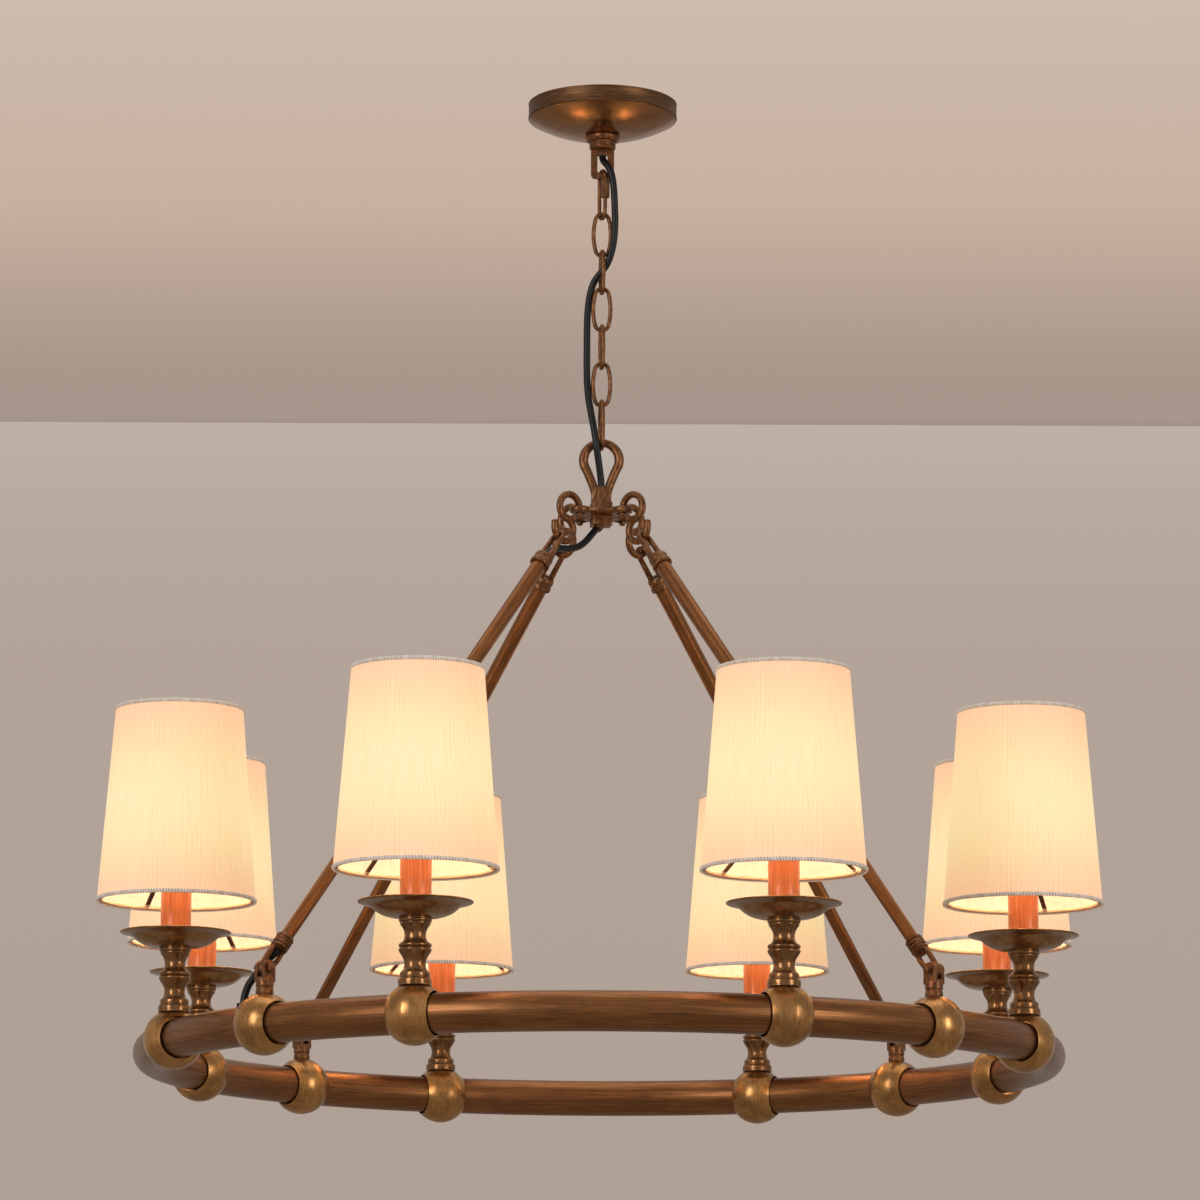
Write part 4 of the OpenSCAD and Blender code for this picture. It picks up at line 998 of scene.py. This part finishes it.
BALUSTER = mm([
    (5, 22.2), (12.8, 22.2), (13.2, 22.8), (13.3, 25.2), (13.1, 27.2), (12.4, 28), (11.7, 28.3),
    (11.8, 29), (11.9, 31.2), (11.5, 32.6), (10.4, 33.4), (9.6, 34.4), (8.8, 36.6), (8.5, 39.2),
    (8.8, 41.8), (9.8, 44.4), (11.4, 46.8), (12.6, 48.8), (13.1, 50.4), (12.6, 51.4), (11.8, 51.9),
    (12.6, 52.6), (13.1, 53.6), (12.8, 54.8), (11.6, 55.7), (10, 56.8), (8.9, 59), (8.5, 61.6),
    (8.7, 64.2), (9.6, 66.8), (11, 69), (12, 70.4), (12.2, 71.4), (12, 71.9), (12.8, 72.5),
    (13.1, 73.6), (12.9, 74.8), (12.2, 75.5), (5, 75.5)
])
PAN = mm([
    (5, 75.5), (12, 75.5), (16, 75.7), (20.5, 76.3), (24.5, 77.3), (28, 78.7), (31.2, 80.7),
    (33.6, 82.7), (35.4, 84.3), (37.4, 85.4), (40, 86.1), (43, 86.7), (44.9, 87.3), (45.6, 87.8),
    (45.7, 88.3), (45.3, 88.7), (44.4, 88.6), (42.6, 88), (40, 87.4), (37, 86.8), (34.4, 85.7),
    (32.2, 83.8), (29.8, 81.6), (26.5, 79.6), (22.5, 78.2), (18.6, 77.3), (14.8, 76.8), (12, 76.7),
    (5, 76.7)
])


def smooth_profile(pairs):
    return [(max(p.x, 0.0), p.y) for p in spline([(r, z, 0) for r, z in pairs], 3)]


SLEEVE = mm([(12.3, 76.7), (12.5, 76.9), (12.5, 154.3), (12.3, 154.7), (11.7, 154.7), (11.7, 76.7)])
CANDLE_PARTS = [
    ("baluster", lathe(smooth_profile(BALUSTER), 72, closed=True), 38, bronze_turned, "bronze",
     "balusters"),
    ("drip_pan", lathe(smooth_profile(PAN), 96, closed=True), 50, bronze_pan, "bronze", "drip_pans"),
    ("candle_sleeve", lathe(SLEEVE, 72, closed=True), 40, copper_sleeve_with_painted_glow, "copper", "candle_sleeves")]
for i, azimuth in enumerate(CANDLE_AZ, 1):
    for name, part, angle, material, slot_name, node in CANDLE_PARTS:
        finish(make(f"{name}_{i}", *part, on_ring(azimuth), angle), material, slot_name, "ring", node)


# ---- bulbs

BULB_BASE, HOLDER_TOP = 0.1417, 0.1677
bulb_outline = [(0.0, BULB_BASE), (0.0040, BULB_BASE), (0.0069, BULB_BASE + 0.002), (0.0069, HOLDER_TOP)]
bulb_outline += mm([
    (7.9, 0.4), (8, 2.2), (9.8, 6), (13.2, 11), (16, 16), (17.3, 21), (17.4, 26), (16.6, 33), (14.9, 40),
    (12.2, 47), (9, 53.5), (5.8, 59), (3, 63.5), (1, 66), (0, 66.2)], HOLDER_TOP)
BULB_GLOW = 30.0


def bulb_finish():
    """Frosted glass that glows warm, brightest half way up; its base stays dull metal."""
    m = Paint("glowing_glass", Metallic=0.0)
    x, y, z = m.place()
    glow = m.ramp(m.times(m.minus(z, HOLDER_TOP + 0.001), 1 / 0.062),
                  (0.0, (0.0, 0.0, 0.0)), (0.02, (0.55, 0.28, 0.10)), (0.35, (1.0, 0.68, 0.34)),
                  (0.75, (1.0, 0.62, 0.28)), (1.0, (0.8, 0.42, 0.16)))
    base = m.ramp(m.times(m.minus(z, HOLDER_TOP), 1 / 0.01),
                  (0.0, (0.55, 0.50, 0.42)), (0.1, (0.95, 0.90, 0.80)))
    frost = m.noise(m.coords, 500, 3, 0.6)
    m.glow(glow, BULB_GLOW)
    colour = m.mix(m.ramp(frost, (0.3, 0.0), (0.7, 0.15)), base, (0.85, 0.78, 0.66))
    return m.done(colour, 0.4, frost, 0.00001)


bulb_glass = bulb_finish()
bulb_part = lathe(bulb_outline, 48)
for i, azimuth in enumerate(CANDLE_AZ, 1):
    finish(make(f"candle_bulb_{i}", *bulb_part, on_ring(azimuth), 60), bulb_glass, "glass", f"bulb_{i}",
           f"bulb_{i}")


# ---- shades

SHADE_LOW, SHADE_HIGH = 0.1132, 0.2752
SHADE_LOW_R, SHADE_HIGH_R, SHADE_WALL = 0.0655, 0.05275, 0.001
PLEATS, PER_PLEAT, ROWS = 126, 6, 26
PLEAT_DEPTH = 0.00030
LINING_ROWS = 6
# The bulb's bright height, how fast the cloth's painted glow falls off from it, and the glow's strength
GLOW_Z, GLOW_WIDTH, SHADE_GLOW = 0.192, 0.0042, 0.96


def shade_radius(z):
    t = (z - SHADE_LOW) / (SHADE_HIGH - SHADE_LOW)
    return SHADE_LOW_R + (SHADE_HIGH_R - SHADE_LOW_R) * t


def shade_mesh(seed):
    """A cone of narrow crinkled pleats outside, with a plain lining inside."""
    rng = np.random.default_rng(40 + seed)
    columns = PLEATS * PER_PLEAT
    folds = rng.normal(0, 0.16, PLEATS)
    wave = [(rng.integers(3, 9), rng.uniform(0, TAU), rng.uniform(0.5, 1.0)) for _ in range(7)]
    depth = rng.uniform(0.55, 1.0, PLEATS)
    verts, faces = [], []
    for row in range(ROWS + 1):
        t = row / ROWS
        z = SHADE_LOW + (SHADE_HIGH - SHADE_LOW) * t
        r = shade_radius(z) - 0.00012
        fade = min(1.0, 9 * t, 9 * (1 - t))
        for c in range(columns):
            pleat, phase = divmod(c, PER_PLEAT)
            u = phase / PER_PLEAT
            around = TAU * c / columns
            sway = sum(w * sin(n * around * 3 + p + t * (5 + n)) for n, p, w in wave) / 7
            lean = (folds[pleat] * sin(pi * t) + 0.55 * sway * fade) * TAU / PLEATS
            knife = (1 - u) if u > 0 else 0.35
            crinkle = 0.5 + 0.5 * sin(t * 21 + 9 * folds[pleat] + 5 * sway)
            creased = r - PLEAT_DEPTH * depth[pleat] * (1 - knife) * (0.55 + 0.45 * crinkle) * fade
            a = around + lean
            verts.append((creased * cos(a), creased * sin(a), z))
    for row in range(LINING_ROWS + 1):
        z = SHADE_HIGH - (SHADE_HIGH - SHADE_LOW) * row / LINING_ROWS
        r = shade_radius(z) - SHADE_WALL
        for c in range(columns):
            a = TAU * c / columns
            verts.append((r * cos(a), r * sin(a), z))
    total_rows = ROWS + 1 + LINING_ROWS + 1
    for row in range(total_rows):
        nxt = (row + 1) % total_rows
        for c in range(columns):
            d = (c + 1) % columns
            faces.append((row * columns + c, row * columns + d, nxt * columns + d, nxt * columns + c))
    return verts, faces


def shade_finish():
    """Cream pleated cloth with a painted glow for the bulb's light through it: the glow follows the height
    from the bulb, and the folds show as fine darker lines in it that wander a little."""
    m = Paint("pleated_cloth", Metallic=0.0, Sheen_Weight=0.15, Sheen_Roughness=0.5)
    angle, cx, cy, z = m.around()
    drift = m.noise(m.scaled(cx, cy, z, 2.6, 9), 1.0, 3)
    wave = m.sin(m.plus(m.times(angle, PLEATS), m.times(drift, 34)))
    lines = m.noise(m.scaled(cx, cy, z, 30, 26), 1.0, 4, 0.62, 0.7)
    threads = m.noise(m.scaled(cx, cy, z, 110, 40), 1.0, 3, 0.6)
    area = m.ramp(m.noise(m.coords, 26, 3, 0.5), (0.38, 0.35), (0.62, 1.0))
    folds = m.times(m.times(wave, area), 0.5)
    tone = m.plus(m.times(folds, 0.45), m.plus(m.times(lines, 0.95), m.times(threads, 0.30)))
    height = m.minus(z, GLOW_Z)
    near = m.math("POWER", 2.718, m.times(m.times(height, height), -1 / GLOW_WIDTH))
    glow = m.ramp(near, (0.12, (0.70, 0.325, 0.178)), (0.4, (0.71, 0.425, 0.200)),
                  (0.72, (0.72, 0.520, 0.236)), (1.0, (0.74, 0.575, 0.280)))
    shading = m.ramp(tone, (0.28, (0.97, 0.93, 0.89)), (0.62, (1.0, 1.0, 1.0)), (0.95, (1.02, 1.04, 1.08)))
    # The emission is painted light: it stands in for the bulb's light through the cloth, darker along the
    # folds.
    m.glow(m.mix(1.0, glow, shading, "MULTIPLY"), SHADE_GLOW)
    cream = m.ramp(tone, (0.30, (0.50, 0.40, 0.31)), (0.95, (0.58, 0.48, 0.38)))
    return m.done(cream, 0.85, tone, 0.00016)


def lining_finish():
    """Plain lining inside a shade, with a weak painted glow beside the bulb's light."""
    m = Paint("shade_lining", Metallic=0.0)
    x, y, z = m.place()
    weave = m.noise(m.join(x, y, m.times(z, 0.5)), 240, 3, 0.6)
    # Painted light: the emission stands in for more of the bulb's light on the lining.
    m.glow(m.ramp(weave, (0.3, (0.36, 0.275, 0.185)), (0.7, (0.42, 0.325, 0.225))), 1.0)
    colour = m.ramp(weave, (0.3, (0.62, 0.54, 0.50)), (0.7, (0.72, 0.63, 0.60)))
    return m.done(colour, 0.8, weave, 0.00008)


def trim_finish():
    """Grey-white edging: tight slanting stitches, with a weak painted glow for the shade's light."""
    m = Paint("grey_edging", Metallic=0.0, Sheen_Weight=0.3)
    angle, cx, cy, z = m.around()
    slant = m.plus(m.times(angle, 170), m.times(z, 900))
    stitch = m.plus(0.5, m.times(m.sin(slant), 0.5))
    fuzz = m.noise(m.coords, 700, 3, 0.7)
    uneven = m.noise(m.join(m.times(cx, 9), m.times(cy, 9), 0.0), 1.0, 4, 0.7)
    tone = m.plus(m.times(stitch, 0.28), m.plus(m.times(fuzz, 0.36), m.times(uneven, 0.36)))
    # Painted light: the weak emission stands in for the shade's light on the edging.
    m.glow(m.ramp(tone, (0.28, (0.030, 0.020, 0.014)), (0.70, (0.17, 0.125, 0.090))), 1.0)
    colour = m.ramp(tone, (0.28, (0.20, 0.175, 0.160)), (0.42, (0.56, 0.50, 0.46)),
                    (0.70, (0.84, 0.76, 0.69)))
    return m.done(colour, 0.85, tone, 0.0003)


cloth, lining, edging = shade_finish(), lining_finish(), trim_finish()
TRIM_H, TRIM_T = 0.0034, 0.0011


def frame_finish():
    """Dark wire arms; the rings at the edges are bound with the shade's own cloth."""
    m = Paint("frame_wire")
    x, y, z = m.place()
    bound = m.math("MAXIMUM", m.math("LESS_THAN", z, SHADE_LOW + 0.0042),
                   m.math("GREATER_THAN", z, SHADE_HIGH - 0.0042))
    fuzz = m.noise(m.coords, 420, 3, 0.6)
    wire = m.ramp(fuzz, (0.3, (0.060, 0.030, 0.014)), (0.7, (0.170, 0.085, 0.038)))
    binding = m.ramp(fuzz, (0.3, (0.62, 0.44, 0.30)), (0.7, (0.84, 0.70, 0.54)))
    m.set("Metallic", m.times(m.minus(1.0, bound), 0.5))
    return m.done(m.mix(bound, wire, binding), m.plus(0.42, m.times(bound, 0.4)), fuzz, 0.00005)


frame_wire = frame_finish()
FRAME_Z, FRAME_T, WASHER_R, NECK_R = 0.1567, 0.0016, 0.0146, 0.0103
LOW_WIRE, HIGH_WIRE, SHADE_WIRE = (0.0625, SHADE_LOW + 0.0020), (0.04995, SHADE_HIGH - 0.0020), 0.0015
ARM_FROM, ARM_W = (WASHER_R - 0.001, FRAME_Z + FRAME_T / 2), 0.0036
# Which way the first arm of each carrier points, in degrees from +X: the four front ones
# (1, 2, 7 and 8) as photographed, the four back ones guessed
FIRST_ARM = [20, 68, 52, 97, 22, 67, 118, 12]


def shade_frame_part(first):
    """Washer, three sloping arms and the two edge rings of one shade's carrier."""
    e = 0.0003
    parts = [lathe([(NECK_R, FRAME_Z), (WASHER_R - e, FRAME_Z), (WASHER_R, FRAME_Z + e),
                    (WASHER_R, FRAME_Z + FRAME_T - e), (WASHER_R - e, FRAME_Z + FRAME_T),
                    (NECK_R, FRAME_Z + FRAME_T)], 48, closed=True)]
    across, drop = LOW_WIRE[0] - ARM_FROM[0], ARM_FROM[1] - LOW_WIRE[1]
    length, slope = hypot(across, drop), atan2(drop, across)
    outline = soft_corners(rectangle(0, -ARM_W / 2, length, ARM_W / 2), 0.0007)
    for k in range(3):
        lay = (turned(first + 120 * k) @ shift(ARM_FROM[0], 0, ARM_FROM[1])
               @ Matrix.Rotation(slope, 4, "Y"))
        parts.append(moved(prism(outline, -FRAME_T / 2, FRAME_T / 2), lay))
    for r, z in (LOW_WIRE, HIGH_WIRE):
        parts.append(lathe(arc(r, z, SHADE_WIRE, 0, TAU, 14)[:-1], 120, closed=True))
    return joined(*parts)


def trim_part(z_centre, radius):
    """A flat cord sewn round an edge of the shade."""
    profile = [(radius + TRIM_T * x, z_centre + TRIM_H / 2 * z) for x, z in arc(0, 0, 1, 0, TAU, 12)[:-1]]
    verts, faces = lathe(profile, 240, closed=True)
    out = []
    for x, y, z in verts:
        k = 1 + 0.0016 * sin(110 * atan2(y, x) + (z - z_centre) * 900)
        out.append((x * k, y * k, z))
    return out, faces


EDGING = joined(trim_part(SHADE_LOW + 0.0015, SHADE_LOW_R - 0.0003),
                trim_part(SHADE_HIGH - 0.0015, SHADE_HIGH_R - 0.0001))
LINING_FROM = (ROWS + 1) * PLEATS * PER_PLEAT
for i, azimuth in enumerate(CANDLE_AZ, 1):
    matrix = Matrix.Translation(on_ring(azimuth).translation)
    shade = make(f"shade_cloth_{i}", *shade_mesh(i), matrix, 80)
    finish(shade, cloth, "fabric", f"shade_{i}", f"shade_{i}")
    shade.data.materials.append(lining)
    for polygon in shade.data.polygons:
        polygon.material_index = 1 if max(polygon.vertices) >= LINING_FROM else 0
    trims = make(f"shade_edging_{i}", *EDGING, matrix, 70)
    finish(trims, edging, "fabric", f"shade_{i}")
    carrier = make(f"shade_carrier_{i}", *shade_frame_part(FIRST_ARM[i - 1]), matrix, 35)
    finish(carrier, frame_wire, "frame", f"shade_{i}", f"shade_frame_{i}")


# ---- stage and light

FLOOR_Z, FLOOR_HALF = -9.0, 40
corners = rectangle(-FLOOR_HALF, -FLOOR_HALF, FLOOR_HALF, FLOOR_HALF)
floor = make("floor", [(x, y, FLOOR_Z) for x, y in corners], [(0, 1, 2, 3)])
floor.data.materials.append(Paint("pale_floor", Base_Color=(0.62, 0.58, 0.53, 1), Roughness=0.9).mat)
floor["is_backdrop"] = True

# The slope of the line of sight where the wall meets the ceiling
CORNICE = 0.2218


def make_world():
    """Soft even light; camera rays and rays through glass see a wall below a ceiling, with painted shade
    and light.
    """
    world = bpy.data.worlds.new("studio")
    bpy.context.scene.world = world
    n = Nodes(world)
    light, seen = n.new("Background"), n.new("Background")
    n.put(light.inputs["Color"], (1.0, 0.94, 0.87, 1))
    n.put(light.inputs["Strength"], 0.42)
    x, y, z = n.split(n.new("TexCoord").outputs["Generated"])
    # The rise of a line of sight over its run to the nearest wall of a square room
    slope = n.math("DIVIDE", z, n.math("MAXIMUM", n.math("ABSOLUTE", x), n.math("ABSOLUTE", y)))

    def band(start, end, *stops):
        """Colours by slope between two slopes."""
        share = n.new("MapRange")
        for key, value in (("Value", slope), ("From Min", start), ("From Max", end)):
            n.put(share.inputs[key], value)
        return n.ramp(share.outputs[0],
                      *[((at - start) / (end - start), colour) for at, colour in stops])

    # Painted shade and light on the backdrop: the wall darkens downwards, and the ceiling is darkest at the
    # cornice and lighter and warmer overhead.
    wall = band(0.0, CORNICE, (0.08, (0.430, 0.352, 0.306)), (0.1767, (0.451, 0.367, 0.317)),
                (0.2063, (0.479, 0.402, 0.356)), (CORNICE, (0.510, 0.436, 0.386)))
    ceiling_with_painted_light = band(CORNICE, 0.34, (CORNICE, (0.350, 0.278, 0.238)), (0.2229, (0.388, 0.303, 0.258)),
                 (0.2342, (0.400, 0.312, 0.264)), (0.2670, (0.578, 0.440, 0.352)),
                 (0.3076, (0.612, 0.500, 0.428)))
    n.put(seen.inputs["Color"], n.mix(n.math("GREATER_THAN", slope, CORNICE), wall, ceiling_with_painted_light))
    path = n.new("LightPath")
    sees = n.math("MAXIMUM", path.outputs["Is Camera Ray"], path.outputs["Is Transmission Ray"])
    both = n.new("MixShader")
    for socket, value in zip(both.inputs, (sees, light.outputs[0], seen.outputs[0])):
        n.put(socket, value)
    n.put(n.new("OutputWorld").inputs[0], both.outputs[0])


make_world()

LIT_POINT = Vector((0, 0, -0.7))


def area_light(name, at, size, energy, colour):
    data = bpy.data.lights.new(name, "AREA")
    data.shape, data.size, data.size_y = "RECTANGLE", size[0], size[1]
    data.energy, data.color = energy, colour
    obj = bpy.data.objects.new(name, data)
    bpy.context.scene.collection.objects.link(obj)
    obj.location = at
    obj.rotation_euler = (LIT_POINT - Vector(at)).to_track_quat("-Z", "Y").to_euler()


area_light("window_left", (-2.6, -3.2, 0.3), (1.2, 2.2), 52, (1.0, 0.97, 0.93))
area_light("window_right", (3.0, -2.6, -0.2), (0.9, 1.8), 33, (1.0, 0.95, 0.88))
area_light("ceiling_fill", (0.0, 0.6, 2.2), (3.0, 3.0), 26, (1.0, 0.90, 0.78))

bpy.context.scene.view_settings.view_transform = "Standard"

low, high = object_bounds()
